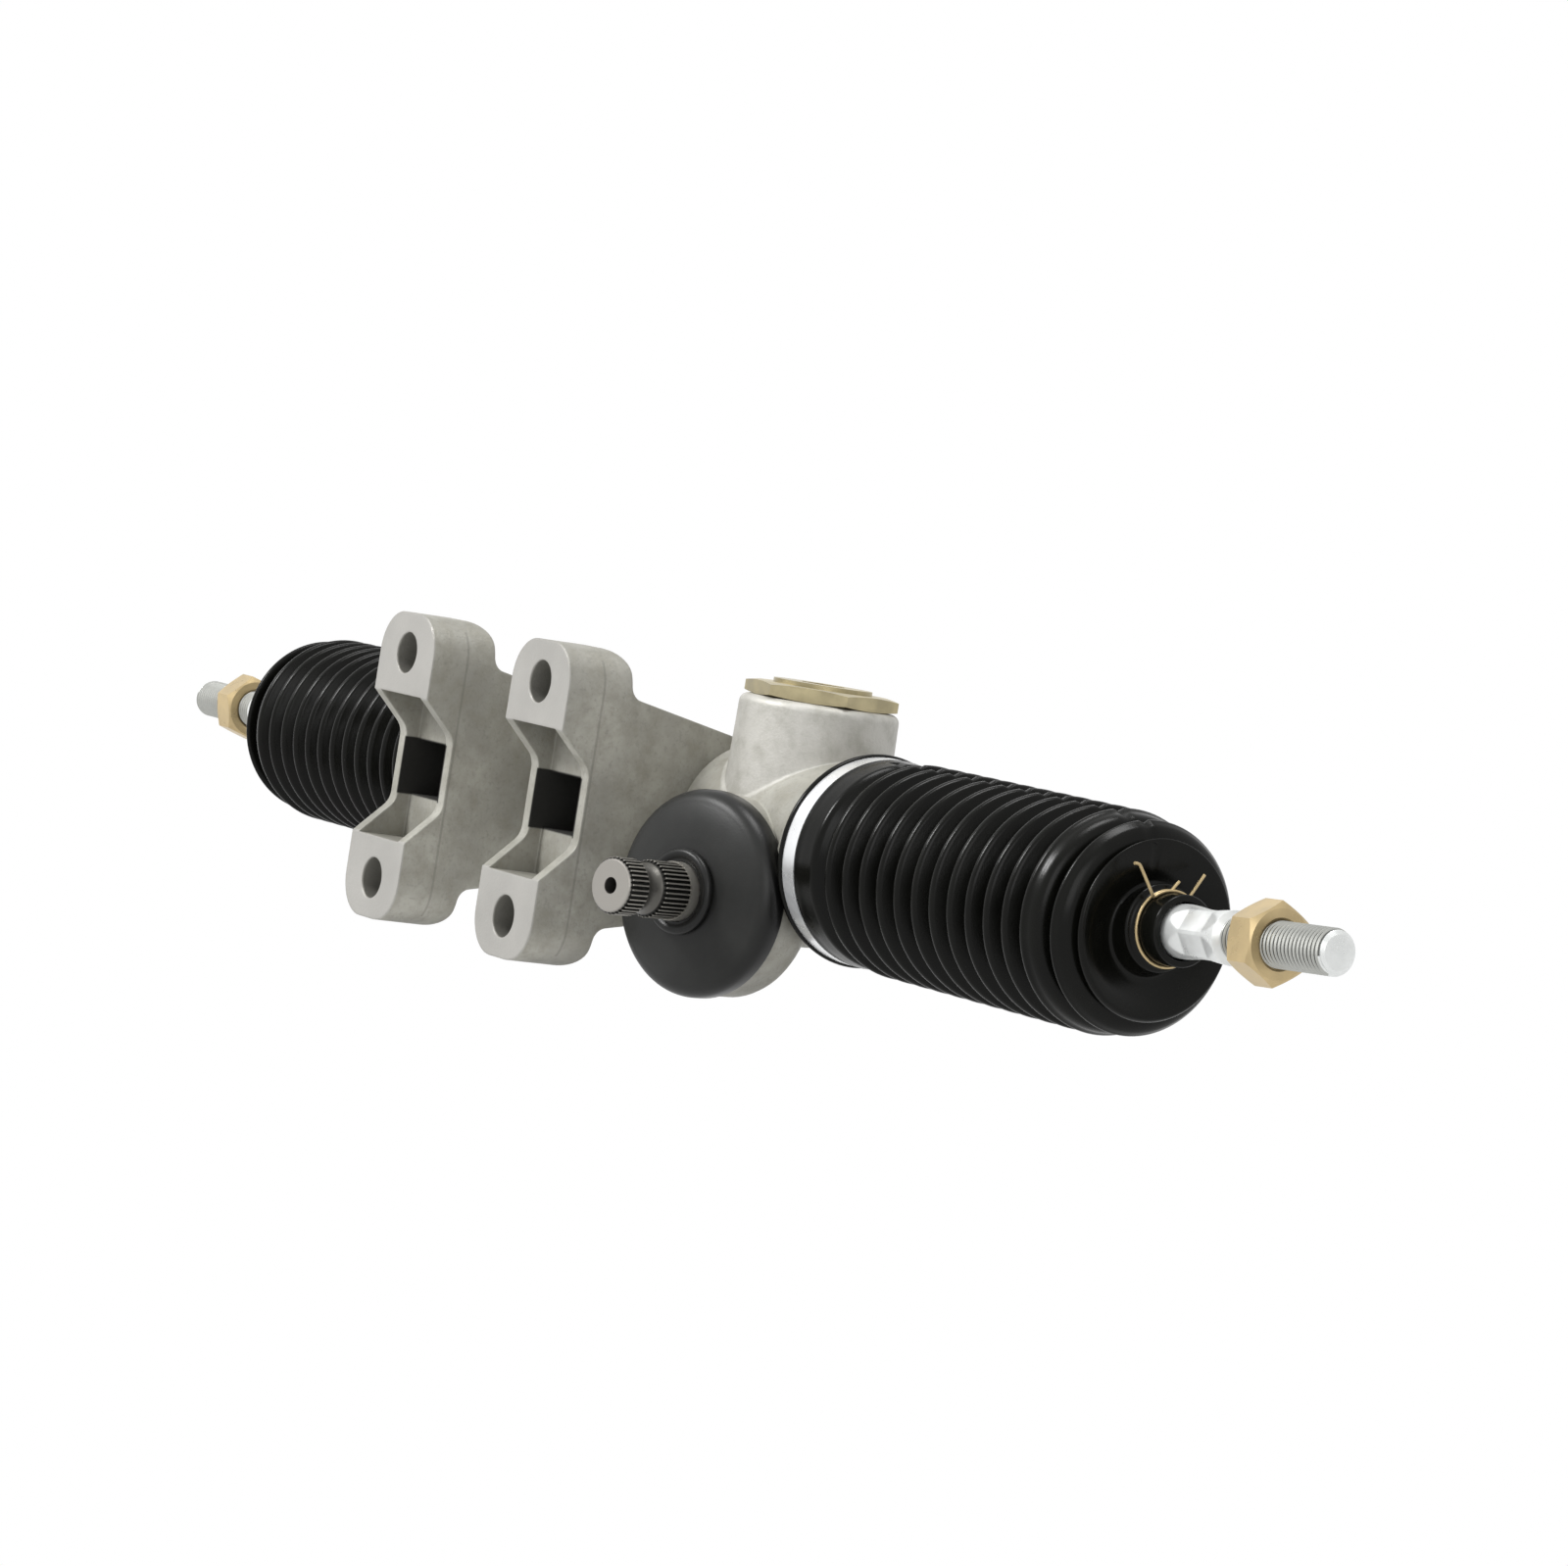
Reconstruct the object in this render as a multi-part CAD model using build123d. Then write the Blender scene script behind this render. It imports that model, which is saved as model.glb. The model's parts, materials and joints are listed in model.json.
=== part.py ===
from build123d import *
import math
import os

os.makedirs("parts", exist_ok=True)

# Steering rack, millimetres. X runs along the rack, Z is the yoke plug's axis.
# The origin is the centre of the four mounting holes, on the front plane of the ears.

# Mounting brackets
mount_spacing_x = 81.0
mount_spacing_z = 67.0
mount_hole_d = 12.2
bracket_width = 33.0
ear_outer_reach = 11.8
ear_inner_reach = 12.2
ear_depth = 20.5
ear_corner_r = 12.0
ear_back_r = 6.0
ear_root_r = 4.0
bracket_wall = 4.0
saddle_depth = 10.8
saddle_half = 11.0
saddle_r = 6.0
ledge_y = 15.0
window_half = 8.1
web_front_z = 33.0
web_back_y = 56.0
web_back_z = 26.0
casting_r = 1.2

# Rack barrel and its ends
axis_y = 64.0
barrel_r = 21.0
gear_barrel_r = 25.6
gear_barrel_x = 57.4
gear_step = 5.0
left_rim_x = -78.3
rim_past_case = 9.1
shoulder_r = 27.2
shoulder_width = 4.0
plug_runout = 3.0
boot_relief = 0.8
spigot_r = 26.3
spigot_length = 16.0
spigot_chamfer = 1.5

# Rack bar
bar_r = 12.0
bar_bore_r = 14.5
bar_left_travel = 57.0
bar_right_travel = 60.0
tooth_zone_spare = 14.0
bar_offset_x = -1.6
running_gap = 0.05
seat_gap = 0.1
bush_length = 20.0
bush_inset = 2.0

# Pinion, on its own inclined axis under the bar
plug_x = 86.5
pinion_z = -16.4
pinion_lean = 15.2
pinion_teeth = 8
gear_module = 1.9
profile_shift = 0.55
pressure_angle = 20.0
pinion_tip_r = 10.1
backlash = 0.12
gear_front = 14.0
gear_back = -13.0
gear_bore_r = 10.7
gear_end_gap = 1.0
shaft_r = 8.2
journal_r = 6.5
journal_back = -21.0
foot_wall_back = -27.0
foot_r = 12.6
foot_nose_r = 10.6
foot_slope = 3.0
foot_bush_wall = 2.0
end_cap_depth = 3.0
end_cap_wall = 1.0
spline_d = 15.9
spline_root_d = 14.6
spline_teeth = 36
spline_back = 48.4
groove_back = 57.6
groove_front = 64.8
groove_r = 6.2
tip_s = 71.8
tip_chamfer = 1.0
tip_hole_r = 2.3
tip_hole_depth = 8.0

# Pinion housing and bearing
pinion_case_r = 28.0
case_back_s = 1.5
case_round_s = 20.5
case_round = 1.5
case_front_s = 32.4
case_step = 1.6
case_spigot_s = 36.4
bearing_s = 16.0
bearing_width = 10.0
bearing_bore_r = 8.5
bearing_outer_r = 17.5
bearing_ring_wall = 3.1
bearing_land = 1.5
ball_d = 4.8
ball_count = 9
ring_land = 1.3
cage_wall = 0.9
circlip_t = 1.2
circlip_groove = 1.1
circlip_depth = 2.0
bearing_circlip_slot = 8.0
shaft_circlip_slot = 4.0
seal_s = 28.2
seal_width = 6.0
seal_shell = 1.8
seal_lip = 1.5
seal_lip_back = 2.5

# Pinion boot
boot_side_wall = 2.5
boot_edge_r = 3.4
boot_foot_r = 0.6
boot_edge_s = 40.9
boot_neck_s = 43.6
boot_collar_r = 11.6
boot_collar_s = 46.2
boot_collar_root = 1.2
boot_wall = 2.0
boot_lip = 1.5

# Yoke, spring and adjuster
boss_r = 23.4
boss_top_r = 22.6
boss_top_z = 39.8
boss_edge_r = 2.4
yoke_r = 13.9
yoke_top_z = 27.0
yoke_pad_wall = 1.0
yoke_pad_length = 20.0
yoke_pad_angle = 50.0
spring_wire_r = 1.1
spring_r = 7.0
spring_turns = 3.5
spring_well = 8.0
plug_r = 15.0
plug_bottom_z = 33.0
plug_disc_r = 14.0
plug_top_z = 45.2
plug_key_flats = 12.0
plug_key_depth = 4.0
lock_nut_flats = 38.3
lock_nut_t = 4.2
lock_nut_turn = 17.0
lock_nut_chamfer = 0.7
lock_nut_face_inset = 0.6
o_ring_r = 1.0

# Bellows
cuff_wall = 2.0
rim_width = 2.0
rim_proud = 1.3
band_width = 5.7
band_t = 0.5
first_ridge = 25.1
ridge_count = 12
ridge_r = 29.5
valley_r = 24.0
bellows_wall = 1.3
end_ring_r = 27.9
roll_length = 4.4
roll_drop = 0.9
ring_a_step = 11.4
end_face_step = 17.8
ring_flat = 2.0
boot_past_ball = 16.74
neck_r = 9.3
neck_length = 14.6
neck_gap = 0.35
clip_wire_r = 0.45
clip_step = 7.35
clip_turn_gap = 1.2
clip_ear = 8.0
clip_turns = 1.8
clip_start_turn = 220.0

# Ball joints and tie rods
ball_reach = 120.1
ball_r = 11.0
ball_neck_r = 5.2
seat_wall = 2.4
mouth_angle = 51.0
socket_r = 17.0
socket_front = 8.0
socket_nose = 4.5
socket_back = 16.0
flats_back = 36.0
flats_width = 26.0
stud_r = 7.0
stud_length = 16.0
washer_t = 1.2
washer_r = 16.0
stop_length = 8.0
stop_r = 17.5
rod_r = 7.0
rod_flats = 12.6
rod_flats_start = 34.0
rod_flats_end = 49.0
rod_neck_end = 20.0
rod_neck_slope = 2.0
rod_shoulder = 1.0
thread_start = 52.0
thread_d = 12.0
thread_minor_r = 5.35
rod_length = 94.0
rod_tip_chamfer = 1.2
right_rod_rise = 3.5
left_rod_rise = 0.2
nut_flats = 19.0
nut_t = 9.4
nut_chamfer = 1.15
nut_face_inset = 0.5
nut_sink_r = 6.7
nut_sink = 0.9
right_nut_at = 61.0
left_nut_at = 59.8
right_nut_turn = 30.0
left_nut_turn = 18.0

# Places worked out from the sizes above
case_spigot_r = pinion_case_r - case_step
boot_r = case_spigot_r + boot_side_wall
right_rim_x = plug_x + pinion_case_r + rim_past_case
left_end_x = left_rim_x - spigot_length
right_end_x = right_rim_x + spigot_length
left_ball_x = left_rim_x - ball_reach + bar_offset_x
right_ball_x = right_rim_x + ball_reach + bar_offset_x
pitch_r = gear_module * pinion_teeth / 2
rack_line_z = pinion_z + pitch_r + profile_shift * gear_module
rack_tip_z = rack_line_z - gear_module
rack_root_z = rack_line_z + 1.25 * gear_module
bearing_front = bearing_s + bearing_width
ball_pitch_r = (bearing_bore_r + bearing_outer_r) / 2
bar_end_gap = flats_back + washer_t
cuff_r = spigot_r + seat_gap + cuff_wall
boot_end = ball_reach + boot_past_ball
last_ridge = boot_end - end_face_step
ridge_pitch = (last_ridge - first_ridge) / (ridge_count - 1)
gear_bore_back = gear_back - gear_end_gap
foot_bore_r = journal_r + foot_bush_wall

rack_place = Pos(0, axis_y, 0)
pinion_place = Pos(plug_x, axis_y, pinion_z) * Rot(0, 0, pinion_lean - 90)
plug_place = Pos(plug_x, axis_y, 0) * Rot(0, -90, 0)
right_rod_place = Pos(right_ball_x, axis_y, 0) * Rot(0, -right_rod_rise, 0)
left_rod_place = Pos(left_ball_x, axis_y, 0) * Rot(0, left_rod_rise, 0) * Rot(0, 0, 180)
right_joint_place = Pos(right_ball_x, axis_y, 0)
left_joint_place = Pos(left_ball_x, axis_y, 0) * Rot(0, 0, 180)


def turned(*points):
    """A solid turned about X from a closed outline of (x, radius) points."""
    outline = make_face(Polyline(*points, close=True))
    return revolve(outline, Axis.X)


def rod_x(start, end, radius):
    """A plain cylinder along X."""
    return turned((start, 0), (start, radius), (end, radius), (end, 0))


def tube_x(start, end, inner, outer):
    """A plain tube along X."""
    return turned((start, inner), (start, outer), (end, outer), (end, inner))


def hexagon_x(start, end, flats):
    """A hexagonal bar along X."""
    shape = Plane.YZ * RegularPolygon(flats / 2, 6, major_radius=False)
    return Pos(start, 0, 0) * extrude(shape, amount=end - start)


def chamfered_hexagon(start, end, flats, depth, inset):
    """A hexagonal bar along X, chamfered at both ends to a round face."""
    corner = flats / math.sqrt(3)
    face_r = flats / 2 - inset
    return hexagon_x(start, end, flats) & turned(
        (start, 0), (start, face_r), (start + depth, corner), (end - depth, corner),
        (end, face_r), (end, 0))


def ball(radius):
    """A ball at the origin."""
    return Sphere(radius)


def save(name, *solids):
    """Write one node, as one solid or a group of solids."""
    shape = solids[0] if len(solids) == 1 else Compound(children=list(solids))
    export_step(shape, "parts/" + name + ".step")


# Housing


def bracket():
    """One mounting bracket, centred on x = 0, without its hollow."""
    top = mount_spacing_z / 2 + ear_outer_reach
    side = [(0, top), (ear_depth, top), (ear_depth, web_front_z), (web_back_y, web_back_z)]
    half = side + [(axis_y, barrel_r - casting_r)]
    profile = make_face(Polyline(*half, *[(y, -z) for y, z in reversed(half)], close=True))
    for z, radius in ((top, ear_back_r), (web_front_z, ear_root_r)):
        bends = profile.vertices().filter_by(lambda v: abs(v.X - ear_depth) + abs(abs(v.Y) - z) < 1e-6)
        profile = fillet(bends, radius)
    block = extrude(Plane.YZ * profile, amount=bracket_width / 2, both=True)
    front = RectangleRounded(bracket_width, 2 * top, ear_corner_r)
    face_on = extrude(Plane.XZ * front, amount=-2 * axis_y, both=True)
    return block & face_on


def bracket_hollow():
    """The saddle, the pocket and the deep window of one bracket."""
    half = mount_spacing_z / 2 - ear_inner_reach
    saddle = Polyline(
        (-saddle_depth, half), (0, half), (saddle_depth, saddle_half),
        (saddle_depth, -saddle_half), (0, -half), (-saddle_depth, -half), close=True)
    saddle = make_face(saddle)
    bends = saddle.vertices().filter_by(lambda v: abs(v.X - saddle_depth) < 1e-6)
    saddle = fillet(bends, saddle_r)
    cut = extrude(Plane.YZ * saddle, amount=bracket_width, both=True)
    inside = bracket_width - 2 * bracket_wall
    pocket = Pos(0, ledge_y / 2, 0) * Box(inside, ledge_y, 2 * half)
    window_end = axis_y - bar_bore_r - 2 * bracket_wall
    window = Pos(0, window_end / 2, 0) * Box(inside, window_end, 2 * window_half)
    cut = cut + pocket + window
    for z in (-mount_spacing_z / 2, mount_spacing_z / 2):
        cut += Pos(0, ear_depth, z) * Rot(90, 0, 0) * Cylinder(mount_hole_d / 2, 3 * ear_depth)
    return cut


def barrel():
    """The outside of the rack barrel with its shoulders and spigots."""
    left_shoulder = left_rim_x + shoulder_width
    right_shoulder = right_rim_x - shoulder_width
    shape = turned(
        (left_end_x, 0),
        (left_end_x, spigot_r - spigot_chamfer),
        (left_end_x + spigot_chamfer, spigot_r),
        (left_rim_x + seat_gap, spigot_r),
        (left_rim_x + seat_gap, shoulder_r),
        (left_shoulder, shoulder_r),
        (left_shoulder + gear_step, barrel_r),
        (gear_barrel_x, barrel_r),
        (gear_barrel_x + gear_step, gear_barrel_r),
        (right_shoulder, gear_barrel_r),
        (right_shoulder, shoulder_r),
        (right_rim_x - seat_gap, shoulder_r),
        (right_rim_x - seat_gap, spigot_r),
        (right_end_x - spigot_chamfer, spigot_r),
        (right_end_x, spigot_r - spigot_chamfer),
        (right_end_x, 0))
    return rack_place * shape


def pinion_case():
    """The outside of the pinion housing, turned about the pinion axis."""
    return pinion_place * turned(
        (foot_wall_back, 0),
        (foot_wall_back, foot_nose_r),
        (gear_bore_back - foot_slope, foot_nose_r),
        (gear_bore_back - foot_slope / 3, foot_r),
        (case_back_s, foot_r),
        (case_round_s - case_round, pinion_case_r - case_round),
        (case_round_s, pinion_case_r - case_round / 3),
        (case_round_s + case_round, pinion_case_r),
        (case_front_s, pinion_case_r),
        (case_front_s, case_spigot_r),
        (case_spigot_s, case_spigot_r),
        (case_spigot_s, 0))


def plug_boss():
    """The upright boss over the yoke, slightly drafted."""
    boss = turned((0, 0), (0, boss_r), (boss_top_z, boss_top_r), (boss_top_z, 0))
    rim = boss.edges().filter_by(GeomType.CIRCLE).sort_by(Axis.X)[-1]
    return plug_place * fillet(rim, boss_edge_r)


def pinion_bore():
    """All that is bored out along the pinion axis."""
    land_s = bearing_s - bearing_land
    groove = bearing_outer_r + circlip_groove
    return pinion_place * turned(
        (foot_wall_back, 0),
        (foot_wall_back, foot_bore_r),
        (gear_bore_back, foot_bore_r),
        (gear_bore_back, gear_bore_r),
        (land_s, gear_bore_r),
        (bearing_s, bearing_outer_r - ring_land),
        (bearing_s, bearing_outer_r),
        (bearing_front, bearing_outer_r),
        (bearing_front, groove),
        (bearing_front + circlip_t, groove),
        (bearing_front + circlip_t, bearing_outer_r),
        (case_spigot_s, bearing_outer_r),
        (case_spigot_s, 0))


def gear_housing():
    """The aluminium casting."""
    relief = rod_x(case_front_s, case_front_s + 2 * pinion_case_r, boot_r + boot_relief)
    body = barrel() - pinion_place * relief + pinion_case() + plug_boss()
    centres = (-mount_spacing_x / 2, mount_spacing_x / 2)
    for x in centres:
        body += Pos(x, 0, 0) * bracket()
    body -= rack_place * rod_x(left_end_x, right_end_x, bar_bore_r)
    body -= plug_place * rod_x(0, boss_top_z, yoke_r + seat_gap)
    body -= plug_place * rod_x(plug_bottom_z - plug_runout, boss_top_z, plug_r)
    body -= pinion_bore()
    for x in centres:
        body -= Pos(x, 0, 0) * bracket_hollow()
    return body


# Rack bar and what carries it


def rack_bar():
    """The toothed bar, with its teeth in mesh at rest."""
    left = left_ball_x + bar_end_gap
    right = right_ball_x - bar_end_gap
    bar = rod_x(left, right, bar_r)
    pitch = math.pi * gear_module
    lean = math.radians(pinion_lean)
    slope = math.tan(math.radians(pressure_angle))
    half_gap = pitch / 4 + backlash / 4
    depth = rack_root_z - rack_line_z
    foot = rack_line_z - rack_tip_z
    section = Plane.YZ * Polyline(
        (-half_gap - foot * slope, -foot), (-half_gap + depth * slope, depth),
        (half_gap - depth * slope, depth), (half_gap + foot * slope, -foot), close=True)
    tooth_gap = extrude(make_face(section), amount=2 * bar_r, both=True)
    first = -math.floor((bar_right_travel + tooth_zone_spare) * math.cos(lean) / pitch)
    last = math.floor((bar_left_travel + tooth_zone_spare) * math.cos(lean) / pitch)
    step = pitch / math.cos(lean)
    start = plug_x + (first - 0.5) * step
    end = plug_x + (last + 0.5) * step
    flat = Pos((start + end) / 2, 0, rack_tip_z - bar_r) * Box(end - start, 2 * bar_r, 2 * bar_r)
    gaps = [
        Pos(plug_x + i * step, 0, rack_line_z) * Rot(0, 0, pinion_lean - 90) * tooth_gap
        for i in range(first, last + 1)]
    bar -= [flat] + gaps
    for x in (left, right):
        bar -= Pos(x, 0, 0) * rod_x(-stud_length, stud_length, stud_r)
    return rack_place * bar


def rack_bush():
    """The plastic sleeve at the plain end of the barrel."""
    start = left_end_x + bush_inset
    return rack_place * tube_x(start, start + bush_length, bar_r + running_gap, bar_bore_r)


def rack_yoke():
    """The slider over the bar, with a well for its spring."""
    block = plug_place * rod_x(rack_tip_z / 4, yoke_top_z, yoke_r)
    saddle_cut_r = bar_r + yoke_pad_wall + running_gap
    block -= rack_place * rod_x(plug_x - 2 * yoke_r, plug_x + 2 * yoke_r, saddle_cut_r)
    block = block.solids().sort_by(Axis.Z)[-1]
    block -= plug_place * rod_x(yoke_top_z - spring_well, yoke_top_z, spring_r + 2 * spring_wire_r)
    groove_z = yoke_top_z - spring_well / 2
    groove = Torus(yoke_r - o_ring_r + seat_gap, o_ring_r + seat_gap)
    return block - Pos(plug_x, axis_y, groove_z) * groove


def yoke_pad():
    """The curved strip between the yoke and the bar."""
    half = yoke_pad_length / 2
    pad = tube_x(-half, half, bar_r + running_gap, bar_r + yoke_pad_wall)
    reach = 2 * bar_r
    wide = reach * math.tan(math.radians(yoke_pad_angle))
    wedge = make_face(Plane.YZ * Polyline((0, 0), (wide, reach), (-wide, reach), close=True))
    pad &= extrude(wedge, amount=half, both=True)
    return Pos(plug_x, axis_y, 0) * pad


def yoke_o_ring():
    """The damping ring in the yoke's groove."""
    groove_z = yoke_top_z - spring_well / 2
    return Pos(plug_x, axis_y, groove_z) * Torus(yoke_r - o_ring_r, o_ring_r)


def yoke_spring():
    """The coil spring between the yoke and its adjuster plug."""
    bottom = yoke_top_z - spring_well + spring_wire_r + seat_gap
    top = plug_bottom_z - spring_wire_r - seat_gap
    path = Helix((top - bottom) / spring_turns, top - bottom, spring_r)
    section = Plane(path @ 0, z_dir=path % 0) * Circle(spring_wire_r)
    return Pos(plug_x, axis_y, bottom) * sweep(section, path, is_frenet=True)


def yoke_adjuster_plug():
    """The threaded plug with its raised disc and key recess."""
    plug = turned(
        (plug_bottom_z, 0),
        (plug_bottom_z, plug_r),
        (boss_top_z + lock_nut_t, plug_r),
        (boss_top_z + lock_nut_t, plug_disc_r),
        (plug_top_z, plug_disc_r),
        (plug_top_z, 0))
    plug -= hexagon_x(plug_top_z - plug_key_depth, plug_top_z, plug_key_flats)
    return plug_place * plug


def yoke_lock_nut():
    """The thin hexagon that locks the plug."""
    nut = chamfered_hexagon(
        boss_top_z, boss_top_z + lock_nut_t, lock_nut_flats, lock_nut_chamfer, lock_nut_face_inset)
    nut -= rod_x(boss_top_z, boss_top_z + lock_nut_t, plug_r)
    return plug_place * Rot(lock_nut_turn, 0, 0) * nut


# Pinion and its bearing


def involute_tooth():
    """One pinion tooth as a face, pointing along the local X."""
    alpha = math.radians(pressure_angle)
    base_r = pitch_r * math.cos(alpha)
    thickness = gear_module * (math.pi / 2 + 2 * profile_shift * math.tan(alpha)) - backlash / 2
    root_r = gear_module * (pinion_teeth / 2 - 1.25 + profile_shift)
    middle = thickness / (2 * pitch_r) + math.tan(alpha) - alpha

    def flank(radius, side):
        roll = math.acos(min(base_r / radius, 1))
        angle = side * (middle - math.tan(roll) + roll)
        return (radius * math.cos(angle), radius * math.sin(angle))

    steps = 5
    radii = [base_r + (pinion_tip_r - base_r) * i / steps for i in range(steps + 1)]
    right = [flank(r, -1) for r in radii]
    left = [flank(r, 1) for r in reversed(radii)]
    ends = [flank(base_r, side) for side in (1, -1)]
    inner = [(x * root_r * 0.9 / base_r, y * root_r * 0.9 / base_r) for x, y in ends]
    edges = Curve() + Spline(*right) + Line(right[-1], left[0]) + Spline(*left)
    edges += Polyline(left[-1], inner[0], inner[1], right[0])
    return make_face(edges), root_r


def pinion_gear():
    """The eight teeth on their root cylinder, along X."""
    tooth, root_r = involute_tooth()
    section = Circle(root_r)
    for i in range(pinion_teeth):
        section += Rot(0, 0, i * 360 / pinion_teeth) * tooth
    return Pos(gear_back, 0, 0) * extrude(Plane.YZ * Rot(0, 0, 90) * section, amount=gear_front - gear_back)


def splined(start, end):
    """A serrated length of the input shaft, along X."""
    outer = spline_d / 2
    inner = spline_root_d / 2
    ring = []
    for i in range(spline_teeth):
        for share, radius in ((-0.32, inner), (-0.12, outer), (0.12, outer), (0.32, inner)):
            angle = 2 * math.pi * (i + share) / spline_teeth
            ring.append((radius * math.cos(angle), radius * math.sin(angle)))
    section = Plane.YZ * make_face(Polyline(*ring, close=True))
    return Pos(start, 0, 0) * extrude(section, amount=end - start)


def pinion_shaft():
    """The input shaft with its gear, bearing seat, groove and splines."""
    shaft = turned(
        (journal_back, 0),
        (journal_back, journal_r),
        (gear_back, journal_r),
        (gear_front, journal_r),
        (gear_front, bearing_bore_r + ring_land),
        (bearing_s, bearing_bore_r + ring_land),
        (bearing_s, bearing_bore_r),
        (bearing_front, bearing_bore_r),
        (bearing_front, bearing_bore_r - circlip_groove),
        (bearing_front + circlip_t, bearing_bore_r - circlip_groove),
        (bearing_front + circlip_t, shaft_r),
        (spline_back, shaft_r),
        (spline_back, groove_r),
        (tip_s, groove_r),
        (tip_s, 0))
    shaft += pinion_gear()
    teeth = splined(spline_back, tip_s)
    full = spline_d / 2
    middle = (groove_back + groove_front) / 2
    outline = Curve() + Polyline(
        (groove_front, full), (tip_s - tip_chamfer, full), (tip_s, full - tip_chamfer),
        (tip_s, 0), (spline_back, 0), (spline_back, full), (groove_back, full))
    outline += ThreePointArc((groove_back, full), (middle, groove_r), (groove_front, full))
    shaft += teeth & revolve(make_face(outline), Axis.X)
    shaft -= rod_x(tip_s - tip_hole_depth, tip_s, tip_hole_r)
    return pinion_place * shaft


def bearing_ring(inner, outer):
    """One bearing race along X, before its place is applied."""
    ring = tube_x(bearing_s, bearing_front, inner, outer)
    race = Torus(ball_pitch_r, ball_d / 2 + running_gap)
    return ring - Pos((bearing_s + bearing_front) / 2, 0, 0) * Rot(0, 90, 0) * race


def pinion_bearing_outer():
    """Outer ring, pressed in the casting."""
    return pinion_place * bearing_ring(bearing_outer_r - bearing_ring_wall, bearing_outer_r)


def pinion_bearing_inner():
    """Inner ring, pressed on the pinion."""
    return pinion_place * bearing_ring(bearing_bore_r, bearing_bore_r + bearing_ring_wall)


def pinion_bearing_balls():
    """The ring of balls."""
    middle = (bearing_s + bearing_front) / 2
    balls = []
    for i in range(ball_count):
        turn = Rot(i * 360 / ball_count, 0, 0)
        balls.append(pinion_place * turn * Pos(middle, 0, ball_pitch_r) * ball(ball_d / 2))
    return balls


def pinion_bearing_cage():
    """The cage that spaces the balls."""
    middle = (bearing_s + bearing_front) / 2
    end = middle + ball_d / 2 + cage_wall
    cage = tube_x(middle, end, ball_pitch_r - cage_wall, ball_pitch_r + cage_wall)
    for i in range(ball_count):
        turn = Rot(i * 360 / ball_count, 0, 0)
        cage -= turn * Pos(middle, 0, ball_pitch_r) * ball(ball_d / 2 + seat_gap)
    return pinion_place * cage


def split_ring(inner, outer, slot):
    """A snap ring with a gap, in front of the bearing."""
    ring = tube_x(bearing_front, bearing_front + circlip_t, inner, outer)
    return pinion_place * (ring - Pos(bearing_front, 0, outer) * Box(4 * circlip_t, slot, 2 * outer))


def bearing_circlip():
    """The snap ring in the housing's groove."""
    outer = bearing_outer_r + circlip_groove
    return split_ring(bearing_outer_r - circlip_depth, outer, bearing_circlip_slot)


def shaft_circlip():
    """The snap ring in the pinion's groove."""
    inner = bearing_bore_r - circlip_groove
    return split_ring(inner, bearing_bore_r + circlip_depth, shaft_circlip_slot)


def pinion_oil_seal():
    """The lip seal above the bearing."""
    front = seal_s + seal_width
    return pinion_place * turned(
        (seal_s, bearing_outer_r),
        (front, bearing_outer_r),
        (front, shaft_r + seat_gap),
        (front - seal_lip, shaft_r + running_gap),
        (front - seal_lip_back, shaft_r + seal_lip),
        (front - seal_lip, bearing_outer_r - seal_shell),
        (seal_s, bearing_outer_r - seal_shell))


def pinion_lower_bush():
    """The bush that carries the pinion's foot."""
    return pinion_place * tube_x(journal_back, gear_bore_back, journal_r + running_gap, foot_bore_r)


def pinion_end_cap():
    """The pressed cap that closes the foot."""
    top = foot_wall_back + end_cap_depth
    recess = rod_x(foot_wall_back, top - end_cap_wall, foot_bore_r - end_cap_wall)
    return pinion_place * (rod_x(foot_wall_back, top, foot_bore_r) - recess)


def pinion_boot():
    """The rubber dust cover on the pinion housing."""
    inner = case_spigot_r + seat_gap
    throat = shaft_r + seat_gap
    return pinion_place * turned(
        (case_front_s + seat_gap, inner),
        (case_front_s + seat_gap, boot_r - boot_foot_r),
        (case_front_s + seat_gap + boot_foot_r, boot_r),
        (boot_edge_s - boot_edge_r, boot_r),
        (boot_edge_s, boot_r - boot_edge_r),
        (boot_neck_s, boot_collar_r + boot_collar_root),
        (boot_neck_s + boot_collar_root, boot_collar_r),
        (boot_collar_s, boot_collar_r),
        (boot_collar_s, throat),
        (boot_collar_s - boot_lip, throat),
        (boot_neck_s - boot_wall, throat + boot_wall),
        (case_spigot_s + seat_gap, inner - boot_lip),
        (case_spigot_s + seat_gap, inner))


# Bellows, bands and clips


def neck_start(reach):
    """Where the neck starts along the rod, for a ball so far from the rim."""
    return boot_end - 2 * bellows_wall - reach


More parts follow.
